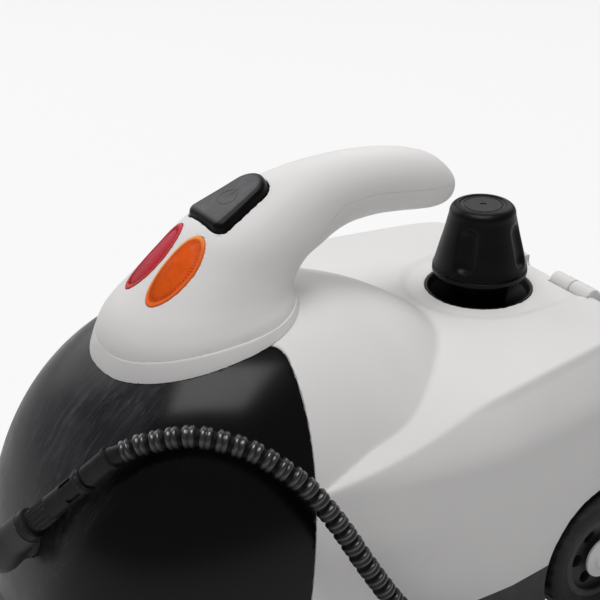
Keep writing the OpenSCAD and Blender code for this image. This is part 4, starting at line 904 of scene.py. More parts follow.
def make_hose():
    """The whole hose as one ribbed tube with its bore."""
    line, at = hose_line(RIB_PITCH / (14))
    side, up = frames_along(line)
    r, crest = rib_profile(at)
    plain = (at < 1.2) | (at > at[-1] - 1.2)
    r[plain], crest[plain] = GROOVE_R + 0.4, 0.2
    sides = 20
    a = 2 * np.pi * np.arange(sides) / sides
    around = side[:, None, :] * np.cos(a)[None, :, None] + up[:, None, :] * np.sin(a)[None, :, None]
    outer = line[:, None, :] + r[:, None, None] * around
    pick = np.unique(np.r_[np.arange(0, len(line), 6), len(line) - 1])
    inner = (line[:, None, :] + HOSE_BORE_R * around)[pick][::-1]
    rings = np.concatenate([outer, inner])
    marks = np.repeat(np.r_[crest, np.zeros(len(pick))], sides)
    n, m = sides, len(rings)
    i, k = np.meshgrid(np.arange(m), np.arange(n), indexing="ij")
    j = (i + 1) % m
    faces = np.stack([i * n + k, i * n + (k + 1) % n, j * n + (k + 1) % n, j * n + k], -1).reshape(-1, 4)
    hose = to_mesh("steam_hose_run", rings.reshape(-1, 3) - DECK, faces, crisp=60.0)
    point_mark(hose, "crest", marks)
    # Upper side of the hose: the coat shows there as a painted highlight.
    rubbed = ease((around[..., 2] + 0.35) / 0.7).ravel()
    point_mark(hose, "rubbed", np.r_[rubbed, np.zeros(len(pick) * sides)])
    place(hose, "root", "hose_black", "steam_hose", "hose_coil", "hose_tail")
    return hose, line * MM, at[-1] * MM


def make_tie():
    """A woven strap round the coil, with its free end laid over itself."""
    r0 = COIL_OUT - COIL_STEP * 1.5 - HOSE_R - 1.2
    r1 = COIL_OUT - COIL_STEP * 0.25 + HOSE_R + 1
    low, high, t, half = 0.05, 0.05 + HIGH_Z + HOSE_R + 1, 0.8, 8.0
    box = rounded([(r0, low), (r1, low), (r1, high), (r0, high)], 5.0, 8)
    inner = rounded([(r0 + t, low + t), (r1 - t, low + t), (r1 - t, high - t), (r0 + t, high - t)], 4.4, 8)
    over = [(r + (r - (r0 + r1) / 2) * 0.03, z + 0.75) for r, z in box if z > high - 4][::-1]
    under = [(r, z - 0.7) for r, z in over]
    points, faces = [], []

    def strip(outer, inner, half, ends):
        """A strap of four-sided sections between two lines; its ends meet or are closed."""
        start, n = len(points), len(outer)
        for (r, z), (ri, zi) in zip(outer, inner):
            points.extend(np.array([COIL_C[0] - a, COIL_C[1] - y, b]) - DECK for a, y, b in (
                (r, -half, z), (r, half, z), (ri, half, zi), (ri, -half, zi)))
        for i in range(n - 1 if ends else n):
            a, b = start + 4 * i, start + 4 * ((i + 1) % n)
            faces.extend((a + k, a + (k + 1) % 4, b + (k + 1) % 4, b + k) for k in range(4))
        if ends:
            last = start + 4 * (n - 1)
            faces.extend([(start + 3, start + 2, start + 1, start), (last, last + 1, last + 2, last + 3)])

    strip(box, inner, half, False)
    strip(over, under, half - 1, True)
    tie = settle(to_mesh("coil_strap", np.array(points), faces, 40.0), 40.0)
    return place(tie, "root", "tie_black", "hose_tie")


# ---- shells --------------------------------------------------------------------------------------
SHELL = 3.4


def recess_shape(x, y):
    """Outline of the deck's filler recess, open to the rear."""
    return np.where(y > 0, np.abs(x), np.hypot(x, y)) - RECESS_R


def rear_shell(p):
    """Casing and scoop in one shell, with its recess, filler hole, wheel wells and lug pockets."""
    x, y, z = p
    outer = join(casing(p), dome(p), 1.8)
    spot = recess_shape(x, y)
    floor = both(outer, z + RECESS_DEPTH * (1 - ease((spot + 6) / 8)))
    solid = np.where(spot < 2, floor, outer)
    solid = cut(solid, cut(outer + SHELL, both(spot - WALL, -RECESS_DEPTH - WALL - z)))
    solid = meet(solid, FILLER_R - np.hypot(x, y), 1.2)
    well = both(np.hypot(y - WHEEL_Y, z - WHEEL_Z) - WELL_R, WELL_X - np.abs(x))
    solid = carve(solid, well, 1.6)
    across = both(LUG_SPAN[0] - np.abs(x), np.abs(x) - LUG_SPAN[1])
    round_lug = both(np.hypot(y - LUG_Y, z - LUG_Z) - LUG_R, across)
    solid = carve(solid, either(round_lug, both(across, LUG_Y - y, LUG_Z - z)), 0.9)
    solid = carve(solid, before_seam(p) - SEAM_GAP / 2, 0.9)
    return both(solid, CASING_FRONT - y, SPLIT_Z - z)


def hood_shell(p):
    """The front hood, its seam edge and the hole and boss for the hose socket."""
    x, y, z = p
    outer = dome(p)
    off = np.hypot(x - SOCKET_X, z - SOCKET_Z)
    solid = cut(outer, cut(outer + SHELL, both(off - 14, y + 290, -330 - y)))
    solid = meet(solid, SOCKET_R + 0.4 - off + np.maximum(y + 250, 0), 0.8)
    solid = meet(solid, before_seam(p) + SEAM_GAP / 2, 0.9)
    return both(solid, SPLIT_Z - z)


def collar_shape(p):
    """Collar round the foot of the handle; its lip fades towards the front and the middle."""
    x, y, _ = p
    shown = ease((np.abs(x) + 1) / 16) * (1 - ease((y + 191) / 11))
    flare = 0.14 * (COLLAR_FRONT - np.clip(dome(p), 0, COLLAR_FRONT))
    lip = handle(p, 0.4 * COLLAR_LIP * shown + flare)
    outer = meet(lip, dome(p, COLLAR_FRONT, COLLAR_REAR), 0.12 + 0.5 * shown)
    return cut(outer, handle(p, -WALL), dome(p, 0.25))


BUTTON_FLARE, BUTTON_SKIRT, SKIRT_DEPTH = 1.8, 1.8, 9.0
BUTTON_RING_V, BUTTON_RING_R = 0.44 * BUTTON_L, 5.6
LENS_DEPTH = 12
SCREW_R, SCREW_HEAD_R = 2, 3.8
# Screws into the handle: along the machine, underside and parting height
GRIP_SCREWS = ((-58, 63.3, 79.8), (-98, 66.8, 84.8))


def button_axes(p):
    """Across, along and above the button's seat."""
    x, y, z = p
    along, above = turn(y - BUTTON_PLACE[0], z - BUTTON_PLACE[1], BUTTON_SLOPE)
    return x, along, above


def button_flare(v):
    """How far the key's sides lean out at its foot: less towards the tail."""
    return BUTTON_FLARE * (1 - 0.55 * ease((v - 12) / 22))


def button_outline(grow=0.0):
    """The key's outline: square at its foot, with small corners, and round at its tail."""
    c, tail = BUTTON_W / 2 - BUTTON_CORNER, BUTTON_L - BUTTON_NOSE
    corner = lambda x, start, end: arc(x, BUTTON_CORNER, BUTTON_CORNER + grow, start, end, 7)
    return corner(c, -90, 0) + arc(0, tail, BUTTON_NOSE + grow, 4, 176, 22) + corner(-c, 180, 270)


def lens_axes(p, side):
    """Across, along and above a lamp's seat."""
    x, y, z = p
    along, above = turn(y - LENS_PLACE[1], z - LENS_PLACE[2], LENS_TILT)
    u, v = turn(x - side * LENS_PLACE[0], along, side * LENS_LEAN)
    return u, v, above


def lens_reach(u, v, grow=0.0):
    """Distance from a lamp's oval edge, and the share of the way out to it."""
    a, b = LENS_W / 2 + grow, LENS_L / 2 + grow
    share = np.hypot(u / a, v / b)
    reach = np.hypot(u, v)
    return np.where(share > 1e-4, reach * (1 - 1 / np.maximum(share, 1e-4)), -a), share


GRIP_WALL = 4.2
PART_ABOVE = PART_LINE + [(-300, -10), (-300, 150), (-10, 150)]


def grip_shell(p):
    """The handle's outside, and its shell above the collar."""
    outer = handle(p)
    return outer, cut(outer, handle(p, -GRIP_WALL), dome(p, COLLAR_FRONT, COLLAR_REAR))


def grip_top(p):
    """Upper half of the handle with the button's well and the lamps' seats."""
    _, y, z = p
    outer, shell = grip_shell(p)
    u, v, w = button_axes(p)
    edge = outline(button_outline(), u, v) - button_flare(v)
    shell = either(shell, both(edge - BUTTON_GAP - BUTTON_SKIRT, -SKIRT_DEPTH - w, outer + WALL / 2))
    shell = carve(shell, both(edge - BUTTON_GAP, -SKIRT_DEPTH - 1 - w), 0.9)
    for side in (-1, 1):
        a, b, c = lens_axes(p, side)
        shell = carve(shell, both(lens_reach(a, b, LENS_GAP)[0], np.abs(c) - LENS_DEPTH), 0.6)
    return meet(shell, outline(PART_ABOVE, y, z) + 0.04, 0.3)


def grip_bottom(p):
    """Lower half of the handle, with the two screw wells on its underside."""
    x, y, z = p
    outer, shell = grip_shell(p)
    for screw_y, under, part in GRIP_SCREWS:
        off = np.hypot(x, y - screw_y)
        shell = either(shell, both(off - 5, z - part + 0.6, outer + WALL / 2))
        shell = carve(shell, both(off - SCREW_HEAD_R, z - under - 4.5), 0.6)
        shell = both(shell, 1.8 - off)
    return meet(shell, 0.04 - outline(PART_ABOVE, y, z), 0.3)


def lamp_cover(side):
    def field(p):
        a, b, c = lens_axes(p, side)
        reach, share = lens_reach(a, b)
        angle = np.arctan2(b / LENS_L, a / LENS_W)
        teeth = 0.16 * np.cos(64 * angle) * np.exp(-((share - 0.84) / 0.06) ** 2)
        bowl = LENS_PROUD - 0.65 * (1 - ease((share - 0.85) / 0.08)) + 0.45 * (1 - share ** 2)
        body = cut(handle(p, bowl + teeth), handle(p, -WALL))
        return meet(body, both(reach, np.abs(c) - LENS_DEPTH), 0.45)
    return field


def push_button(p):
    """The key, dished for a finger, with a broken ring and a bar sunk in its top."""
    u, v, w = button_axes(p)
    edge = outline(button_outline(), u, v) - button_flare(v) * np.clip(1 - w / BUTTON_RISE, 0, 1)
    dish = 0.55 * np.exp(-((u / 10) ** 2 + ((v - 19) / 13) ** 2))
    ahead = v - BUTTON_RING_V
    ring = np.abs(np.hypot(u, ahead) - BUTTON_RING_R) - 0.35
    ring = np.where((np.abs(u) < 1.7) & (ahead > 0), 9.0, ring)
    bar = both(np.abs(u) - 0.45, np.abs(ahead - 5.2) - 2.6)
    sunk = 0.22 * np.clip(0.5 - either(ring, bar) / 0.5, 0, 1)
    top = w - BUTTON_RISE - 0.06 * (v - 6) + dish + sunk + 0.0026 * u * u
    return meet(both(edge, -BUTTON_SINK - w), top, 2.8)


# ---- safety cap and filler -----------------------------------------------------------------------
CAP_R, CAP_GAP, CAP_TOP, NECK_OUTER, STEM_Z, CORE_R = 28.8, 9.0, 52.5, 16.0, -10.0, 12.7
CAP_PROFILE = (
    [(0, CAP_TOP - 0.6), (CAP_R - 15.2, CAP_TOP - 0.6), (CAP_R - 14.8, CAP_TOP)]
    + arc(CAP_R - 13.9, CAP_TOP - 5.2, 5.0, 90, 12, 8)
    + [(CAP_R - 8.6, CAP_TOP - 7), (CAP_R - 7.3, CAP_TOP - 12.5), (CAP_R - 6.0, CAP_TOP - 18),
       (CAP_R - 4.7, CAP_TOP - 23), (CAP_R - 3.5, CAP_TOP - 27.5), (CAP_R - 2.6, CAP_TOP - 31),
       (CAP_R - 1.8, CAP_TOP - 34.4), (CAP_R - 1.0, CAP_TOP - 37.4), (CAP_R - 0.4, CAP_TOP - 39.0),
       (CAP_R - 0.15, CAP_TOP - 39.4), (CAP_R - 1.0, CAP_TOP - 39.9), (CAP_R - 0.1, CAP_TOP - 40.5),
       (CAP_R, CAP_TOP - 41), (CAP_R, CAP_GAP + 0.7), (CAP_R - 0.7, CAP_GAP), (CAP_R - 2.6, CAP_GAP),
       (CAP_R - 2.6, CAP_GAP + 5), (NECK_OUTER + 4, CAP_GAP + 5), (NECK_OUTER + 3.2, 4),
       (NECK_OUTER + 1, STEM_Z), (NECK_OUTER + 0.9, STEM_Z - 7), (NECK_OUTER + 0.2, STEM_Z - 7),
       (NECK_OUTER + 0.2, STEM_Z), (CORE_R, STEM_Z), (CORE_R, 12), (0, 12)])
FLUTE_R, FLUTE_TILT = 9, math.degrees(math.atan(5.2 / 22))
FLUTE_OUT = CAP_R - 5.2 + FLUTE_R


def cap_knob(p):
    """The fluted cap: a turned form with four soft scallops and a ring and dot on top."""
    x, y, z = p
    r = np.hypot(x, y)
    solid = outline(CAP_PROFILE, r, z)
    for k in range(4):
        u, v = turn(x, y, 90 * k - 60)
        a, b = turn(u - FLUTE_OUT, z - (CAP_TOP - 35), FLUTE_TILT)
        solid = carve(solid, meet(np.hypot(a, v) - FLUTE_R, np.abs(b - 14) - 14, 7), 1.3)
    mark = either(np.abs(r - 11.6) - 0.4, r - 2)
    return cut(solid, both(mark, CAP_TOP - 0.95 - z))


# ---- base tray -----------------------------------------------------------------------------------
CASTER_Y, CASTER_WELL, CASTER_ROOF = -262.0, 32.0, 40.0 - DECK[2]
AXLE_HOLE_R, STEM_HOLE_R = 4.06, 5.06
GLAND = (-30, 0, 36 - DECK[2])
POSTS = [(123, -63), (60, 47), (-60, 47), (-123, -63), (100, -250), (-100, -250)]


def tray(p):
    """The dark base: a shallow tub with wheel housings, axle bosses, caster well and screw wells."""
    x, y, z = p
    inside = np.abs(x)
    outer = either(both(casing(p), CASING_FRONT - y), dome(p))
    tub = meet(both(outer, z - SPLIT_Z, TRAY_Z - z), TRAY_Z - z, 3.0)
    wheel = np.hypot(y - WHEEL_Y, z - WHEEL_Z)
    liner = both(wheel - WELL_R - WALL, WELL_X - WALL - inside, outer + WALL + 0.25, TRAY_Z - z)
    boss = both(wheel - 10, WELL_X - 12 - inside, inside - WELL_X)
    off = np.hypot(x, y - CASTER_Y)
    turret = both(off - CASTER_WELL - WALL, TRAY_Z - z, z - CASTER_ROOF - WALL)
    stem = both(off - 9, CASTER_ROOF - z, z - SPLIT_Z)
    screws = [np.hypot(x - px, y - py) for px, py in POSTS]
    posts = [both(screw - 5.5, TRAY_Z + 1 - z, z - SPLIT_Z) for screw in screws]
    solid = either(cut(tub, both(outer + WALL, TRAY_Z + 3 - z)), liner, boss, turret, stem, *posts)
    solid = carve(solid, both(wheel - WELL_R, WELL_X - inside), 1.2)
    solid = cut(solid, both(wheel - AXLE_HOLE_R, 50 - inside))
    solid = carve(solid, both(off - CASTER_WELL, z - CASTER_ROOF), 1.2)
    solid = cut(solid, both(off - STEM_HOLE_R, CASTER_ROOF - 1 - z))
    for screw in screws:
        solid = cut(solid, either(screw - SCREW_R, both(screw - SCREW_HEAD_R, z - TRAY_Z - 6)))
    return cut(solid, both(np.hypot(x - GLAND[0], z - GLAND[2]) - 6.8, 40 - y))


# ---- wheels --------------------------------------------------------------------------------------
TYRE_R, TYRE_W, WHEEL_X, RIM_R = 40.0, 22.0, 118.0, 27.0


def tyre_wave(angle, r, w):
    """Tread: slanted lugs round the crown and a groove round the middle."""
    crown = ease((r - (TYRE_R - 2.5)) / 1.5)
    lugs = np.clip(np.sin(30 * angle + 0.18 * np.abs(w) * np.sign(w)) * 3.5 + 0.6, -1, 1)
    middle = 1 - np.clip((np.abs(w) - 0.6) / 0.5, 0, 1)
    return -crown * (0.55 * (0.5 - 0.5 * lugs) + 0.6 * middle * (lugs > 0)) * (np.abs(w) < TYRE_W / 2 - 2)


def tyre_profile():
    """The tyre's section: beads, walls, round shoulders and a crown with points for its tread."""
    half = TYRE_W / 2
    crown = [(TYRE_R, w) for w in np.linspace(4 - half, half - 4, 29)]
    shoulder = lambda side, angles: [(TYRE_R - 4 + 4 * math.cos(t), side * (half - 4) + 4 * math.sin(t))
                                     for t in np.radians(angles)]
    wall = [(RIM_R, -8), (RIM_R + 1, 2.2 - half), (RIM_R + 4, 0.9 - half), (RIM_R + 6.6, 0.5 - half),
            (RIM_R + 7, -half)]
    return (wall + shoulder(-1, range(-90, 0, 15)) + crown[1:-1] + shoulder(1, range(15, 91, 15))
            + [(r, -w) for r, w in reversed(wall)])


def wheel_disc(side):
    def field(p):
        x, y, z = p
        w = side * x - WHEEL_X
        v, u = y - WHEEL_Y, z - WHEEL_Z
        r = np.hypot(v, u)
        solid = carve(both(r - RIM_R, np.abs(w) - 8), both(r - RIM_R + 4, 9 - r, 4 - np.abs(w)), 1.2)
        solid = join(solid, both(r - 9, WELL_X + 0.4 - side * x, w - 8), 1.5)
        for k in range(6):
            a = math.radians(60 * k)
            solid = carve(solid, np.hypot(v - 16 * math.cos(a), u - 16 * math.sin(a)) - 4, 0.8)
        return both(solid, AXLE_HOLE_R - r)
    return field


# ---- steam gun, holder and hose outlet -----------------------------------------------------------
GUN = np.array([0.0, 86.0, 105.0 - DECK[2]])
BARREL_R, GUN_FRONT, GUN_BACK = 18.0, -60.0, 75.0
GRIP_X, GRIP_R, GRIP_LEN = 50, 14, 74
TRIGGER, PIN_R = (24, 0, -12), 1.8
PLATE_Y, PLATE_BACK = 54.3, 57.8


def gun_form(x, y, z, grow=0.0):
    """The gun's outside: a barrel and a grip with ribs on its rear."""
    barrel = meet(np.hypot(y, z) - BARREL_R - grow, both(GUN_FRONT - grow - x, x - GUN_BACK - grow), 3.5)
    u, w = turn(x - GRIP_X, z, 10)
    ribs = (np.abs(np.mod(w + 3, 8) - 4) < 0.7) * (w < -26) * (w > -70) * (u > 0)
    grip = both(np.hypot(u, y) - GRIP_R - grow + 0.35 * ribs, w)
    ball = np.sqrt(u * u + y * y + (w + GRIP_LEN) ** 2) - GRIP_R - grow
    return join(barrel, np.where(w < -GRIP_LEN, ball, grip), 7)


def gun_half(side):
    def field(p):
        x, y, z = (q - c for q, c in zip(p, GUN))
        r = np.hypot(y, z)
        solid = cut(gun_form(x, y, z), gun_form(x, y, z, -WALL), both(r - 9.2, x + 50),
                    both(r - 8.2, 65 - x))
        slot = both(17 - x, x - 34, np.abs(y) - 6.6, z + 4, -40 - z)
        solid = both(carve(solid, slot, 1.0), PIN_R - np.hypot(x - TRIGGER[0], z - TRIGGER[2]))
        band = both(np.abs(r - BARREL_R) - 0.5, np.abs(np.mod(x + 54, 4) - 2) - 0.6)
        solid = cut(solid, np.where((x < -46) & (x > -57), band, 9.0))
        return meet(solid, 0.06 - side * y, 0.4)
    return field


def trigger(p):
    """The gun's lever: a hub on the pin, a bowed blade and a round tip."""
    x, y, z = (q - c for q, c in zip(p, GUN + TRIGGER))
    bow = x + 0.9 * np.cos(np.clip((z + 22) / 22, -1, 1) * np.pi / 2)
    blade = meet(np.abs(bow) - 2.4, both(z + 1, -44 - z), 1.5)
    solid = join(either(np.hypot(x, z) - 4, np.hypot(x, z + 44) - 3), blade, 2.0)
    return both(meet(solid, np.abs(y) - 6, 1.4), PIN_R + 0.06 - np.hypot(x, z))


def holder(p):
    """Plate, hooked lugs and two saddles for the gun."""
    x, y, z = p
    wide = np.abs(x)
    plate = block((x, y, z), (-54, PLATE_Y, -90), (54, PLATE_BACK, -8))
    corner = np.hypot(np.maximum(wide - 46, 0), np.maximum(np.abs(z + 49) - 33, 0)) - 8
    notch = outline([(-16, -15), (16, -15), (22, 10), (-22, 10)], x, z)
    solid = meet(both(plate, corner, -notch), np.abs(y - (PLATE_Y + PLATE_BACK) / 2) - 1.75, 1.0)
    for low in (18, 35):
        lug = meet(np.hypot(y - LUG_Y, z - LUG_Z) - 5.5, np.abs(wide - low - 8.25) - 8.25, 1.6)
        solid = either(solid, lug)
    tab = block((wide, y, z), (19, PLATE_Y, -20), (51.5, PLATE_BACK, -2.5))
    arm = meet(block((wide, y, z), (19, 48.5, -5), (51.5, 56, 0)), (y - 54) * 0.6 + (z + 1.5) * 0.8, 1.5)
    solid = join(join(solid, tab, 1.0), arm, 0.8)
    gy, gz = y - GUN[1], z - GUN[2]
    bed = np.hypot(gy, gz)
    for low in (-44, 2):
        cradle = either(bed - BARREL_R - 3, block((gy, gz), (PLATE_Y - GUN[1], -BARREL_R - 3), (0, 3)))
        solid = join(solid, meet(both(cradle, gz - 3), np.abs(x - low - 4) - 4, 1.2), 1.5)
    solid = cut(solid, np.where(y > 59, bed - BARREL_R - 0.25, 9.0))
    return cut(solid, both(-BARREL_R - 5 - gy, 3 - gz, 59.5 - y))


def from_elbow(p, direction):
    """Distance off and along a line out of the elbow's middle."""
    q = [c - e for c, e in zip(p, ELBOW - DECK)]
    along = sum(c * d for c, d in zip(q, direction))
    total = sum(c * c for c in q)
    return np.sqrt(np.maximum(total - along * along, 0)), along, q


def elbow_shape(p):
    """Elbow between socket and hose: a ball with an arm and a leg, bored through."""
    off, along, q = from_elbow(p, HOSE_DIR)
    ball = np.sqrt(sum(c * c for c in q)) - ELBOW_R + 0.6
    arm = meet(off - SOCKET_R, both(along - ELBOW_OUT, -along), 0.8)
    back = np.hypot(q[0], q[2])
    leg = both(back - SOCKET_R, -q[1], q[1] - ELBOW_R)
    solid = join(join(ball, arm, 3), leg, 2)
    hole = either(both(off - HOSE_BORE_R, -along), both(back - HOSE_BORE_R, -q[1]))
    return cut(solid, hole, both(back - SOCKET_R - 0.25, ELBOW_R - q[1]))


def cuff_shape(p):
    """Swivel cuff: a flange, a plain barrel with four slots and a lip."""
    off, w, q = from_elbow(p, HOSE_DIR)
    solid = meet(off - CUFF_R, both(ELBOW_OUT - w, w - CUFF_END), 0.7)
    flange = meet(off - CUFF_R - 2.5, np.abs(w - ELBOW_OUT - 2.5) - 2.5, 1.0)
    lip = meet(off - CUFF_R - 0.7, np.abs(w - CUFF_END + 2) - 1.1, 0.5)
    knurl = meet(off - CUFF_R - 0.45, np.abs(w - 36) - 6, 0.5)
    a, b = (sum(c * d for c, d in zip(q, axis)) for axis in axes_of(HOSE_DIR)[:2])
    knurl = both(knurl, 0.35 + 0.35 * np.cos(18 * np.arctan2(b, a)) - (CUFF_R + 0.45 - off))
    solid = either(solid, flange, lip, knurl)
    for k in range(4):
        c, d = turn(a, b, 90 * k + 22)
        solid = carve(solid, both(np.abs(d) - 1.3, CUFF_R - 1.3 - c, np.abs(w - CUFF_END + 9.5) - 4.5), 0.4)
    return both(solid, HOSE_BORE_R - off)


def sleeve_shape(p):
    """Hose end fitting: a neck in the cuff, a block with a rim and a short bent tail."""
    off, w, q = from_elbow(p, HOSE_DIR)
    neck = both(off - CUFF_R + 1.6, CUFF_END - w, w - SLEEVE_START)
    blockish = meet(off - CUFF_R + 0.3, np.abs(w - (SLEEVE_START + SLEEVE_END) / 2) - 9.25, 0.7)
    rim = meet(off - CUFF_R - 0.4, np.abs(w - SLEEVE_END + 1) - 1, 0.5)
    head = [c - d * SLEEVE_END for c, d in zip(q, HOSE_DIR)]
    ball = np.sqrt(sum(c * c for c in head))
    out = sum(c * d for c, d in zip(head, ARCH_DIR))
    tail_off = np.sqrt(np.maximum(ball ** 2 - out ** 2, 0))
    tail = both(tail_off - NECK_R, -out, out - NECK_OUT)
    bore = either(both(off - HOSE_BORE_R, w - SLEEVE_END), both(tail_off - HOSE_BORE_R, -out), ball - 3.4)
    return cut(either(neck, blockish, rim, ball - NECK_R - 0.3, tail), bore)


# ---- what a user can change ----------------------------------------------------------------------
def shade(name, words, default):
    return bpy.props.FloatVectorProperty(name=name, description=words, default=default,
                                         subtype="COLOR", size=3, min=0, max=1)


def amount(name, words, default, low, high, **more):
    return bpy.props.FloatProperty(name=name, description=words, default=default, min=low, max=high, **more)


class SteamerColours(bpy.types.PropertyGroup):
    """Colours of the steamer's main pieces."""

    casing: shade("Casing", "Colour of the white casing, collar and handle", (0.80, 0.785, 0.775))
    hood: shade("Hood", "Colour of the polished front hood", (0.0010, 0.0010, 0.0016))
    button: shade("Button", "Colour of the soft on/off key", (0.0015, 0.0015, 0.0018))
    cap: shade("Cap", "Colour of the safety cap and filler", (0.0008, 0.0008, 0.0010))
    hose: shade("Hose", "Colour of the ridges of the steam hose", (0.006, 0.006, 0.0065))
    red_lamp: shade("Red lamp", "Colour of the heating lamp's cover", (0.52, 0.014, 0.036))
    amber_lamp: shade("Amber lamp", "Colour of the ready lamp's cover", (0.82, 0.110, 0.013))
    floor: shade("Floor", "Colour of the floor", (0.93, 0.93, 0.93))


class SteamerSizes(bpy.types.PropertyGroup):
    """Sizes of the steamer's free pieces and its stage."""

    mesh_step: amount("Mesh step", "Size of the cells in which the moulded shells are worked out",
                      0.00135, 0.0008, 0.004, unit="LENGTH")
    floor_reach: amount("Floor", "Half the width of the floor", 8.0, 1.0, 20.0, unit="LENGTH")
    key_power: amount("Overhead light", "Power of the overhead lamp in watts", 10.6, 0, 500)
    fill_power: amount("Side light", "Power of the side lamp in watts", 5.5, 0, 500)
    back_power: amount("Back light", "Power of the lamp behind in watts", 3.2, 0, 500)
    sky: amount("Sky", "Strength of the even light from all round", 0.24, 0, 3)


def sizes():
    return bpy.context.scene.steamer_sizes


def step_size():
    return sizes().mesh_step / MM


# ---- operators -----------------------------------------------------------------------------------
class Maker(bpy.types.Operator):
    """Shared by the operators that make pieces."""

    bl_idname = "steamer.maker"
    bl_label = "Maker"

    def execute(self, context):
        self.make(context)
        return {"FINISHED"}

    def make(self, context):
        raise NotImplementedError


class MakeCamera(Maker):
    """Places the camera in front of the steamer's right side, above the hood"""

    bl_idname = "steamer.camera"
    bl_label = "Camera"

    def make(self, context):
        data = bpy.data.cameras.new("camera")
        data.lens, data.sensor_width = 87.0, 36.0
        data.clip_start, data.clip_end = 0.01, 50.0
        camera = bpy.data.objects.new("camera", data)
        context.scene.collection.objects.link(camera)
        around, above = math.radians(57.0), math.radians(26.2)
        out = math.cos(above)
        back = Vector((math.sin(around) * out, -math.cos(around) * out, math.sin(above)))
        right = Vector((math.cos(around), math.sin(around), 0))
        up = back.cross(right)
        camera.matrix_world = Matrix.Translation((0.61062, -0.41246, 0.54646)) @ Matrix(
            (right, up, back)).transposed().to_4x4()
        context.scene.camera = camera


class MakeHose(Maker):
    """Makes the ribbed steam hose, its coil and its tie"""

    bl_idname = "steamer.hose"
    bl_label = "Steam hose"

    def make(self, context):
        hose, line, length = make_hose()
        tie = make_tie()
        tuple(line[0])
        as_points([tuple(q) for q in line[::4]] + [tuple(line[-1])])


class MakeCasing(Maker):
    """Makes the white rear casing with the scoop, the filler recess and the lug pockets"""

    bl_idname = "steamer.casing"
    bl_label = "Rear casing"

    def make(self, context):
        form("rear_shell", rear_shell, (-134, -206, -114), (134, 57, 40), step_size(), "root",
             "white_plastic", "rear_casing")


class MakeHood(Maker):
    """Makes the polished front hood"""

    bl_idname = "steamer.hood"
    bl_label = "Front hood"

    def make(self, context):
        form("hood", hood_shell, (-122, -320, -114), (122, -160, 40), step_size(), "root", "black_gloss",
             "front_hood")


class MakeHandle(Maker):
    """Makes the collar and the two halves of the swan-neck handle"""

    bl_idname = "steamer.handle"
    bl_label = "Handle"

    def make(self, context):
        form("collar", collar_shape, (-56, -260, -8), (56, -134, 46), 0.8, "root", "white_plastic",
             "handle_collar")
        step = 0.85 * step_size()
        form("grip_top", grip_top, (-53, -256, 4), (53, -22, 108), step, "root", "white_plastic",
             "handle_upper")
        form("grip_bottom", grip_bottom, (-53, -165, 10), (53, -22, 90), step, "root", "white_plastic",
             "handle_lower")


class MakeControls(Maker):
    """Makes the on/off key and the two lamp covers"""

    bl_idname = "steamer.controls"
    bl_label = "Key and lamps"

    def make(self, context):
        key = form("push_key", push_button, (-18.5, -193, 75), (18.5, -144, 108), 0.5, "button",
                   "soft_black", "power_button")
        u, v, w = button_axes(tuple(deck_points(key).T))
        edge = outline(button_outline(), u, v)
        # Crown mark: the key's top face, which its finish lightens as a painted highlight.
        top = ease((w - 0.06 * (v - 6) - BUTTON_RISE + 1.6) / 1.2)
        point_mark(key, "crown", top * ease((-edge - 0.6) / 3.4))
        for side, slot in ((-1, "red_lens"), (1, "amber_lens")):
            x = side * LENS_PLACE[0]
            low, high = (x - 12, -240, 42), (x + 12, -186, 90)
            cover = form(slot.replace("lens", "cover"), lamp_cover(side), low, high, 0.42, "root", slot,
                         slot, crisp=50.0)
            a, b, _ = lens_axes(tuple(deck_points(cover).T), side)
            share = lens_reach(a, b)[1]
            point_mark(cover, "rim", ease((share - 0.87) / 0.06))
            # Side and lit marks: gradients across the cover for its painted light.
            point_mark(cover, "side", np.clip(0.5 - 0.8 * a / LENS_W + 0.5 * b / LENS_L, 0, 1))
            point_mark(cover, "lit", np.clip(0.5 + 0.5 * a / LENS_W + 0.9 * b / LENS_L, 0, 1))
            angle = np.arctan2(b / LENS_L, a / LENS_W)
            point_mark(cover, "teeth", ease((np.sin(56 * angle) + 0.2) / 0.8)
                       * np.exp(-((share - 0.77) / 0.07) ** 2))


class MakeCap(Maker):
    """Makes the fluted safety cap and the filler funnel"""

    bl_idname = "steamer.cap"
    bl_label = "Safety cap"

    def make(self, context):
        form("cap_knob", cap_knob, (-29, -29, -18), (29, 29, 53.2), 0.7, "safety_cap", "cap_black",
             "cap_grip")
        r = FILLER_R - 0.2
        throat, low, flange = NECK_OUTER + 0.4, -28.0, -RECESS_DEPTH - WALL
        rim = [(r - 1.6, -RECESS_DEPTH), (r, -RECESS_DEPTH), (r, flange), (r + 4, flange),
               (r + 4, flange - 2), (r - 0.8, flange - 2), (throat + 4, low + 2), (throat + 1.6, low),
               (throat, low), (throat, low + 3), (r - 3.2, flange - 2)]
        lathe("filler_well", rim, 0.7, (0, 0, 0), (0, 0, 1), 128, "root", "cap_black", "filler_funnel")


class MakeBase(Maker):
    """Makes the base tray and the cord gland"""

    bl_idname = "steamer.base"
    bl_label = "Base"

    def make(self, context):
        form("tub", tray, (-134, -320, -146), (134, 56, -60), step_size(), "root", "charcoal_plastic",
             "base_tray")
        gland = [(3.8, 47), (9, 47), (9, 50.2), (6.5, 50.2), (6.5, 53.4), (9, 53.4), (9, 56), (7.6, 58)]
        for k in range(4):
            y, r = 59.2 + 3.2 * k, 7 - 0.4 * k
            gland += [(r, y), (r, y + 1.4), (r - 1, y + 1.7), (r - 1, y + 2.9)]
        gland += [(5.2, 72), (3.8, 72)]
        place(turned("lead_gland", rounded(gland, 0.35, 3), GLAND, (0, 1, 0), 64), "root", "gun_black",
              "cord_gland")


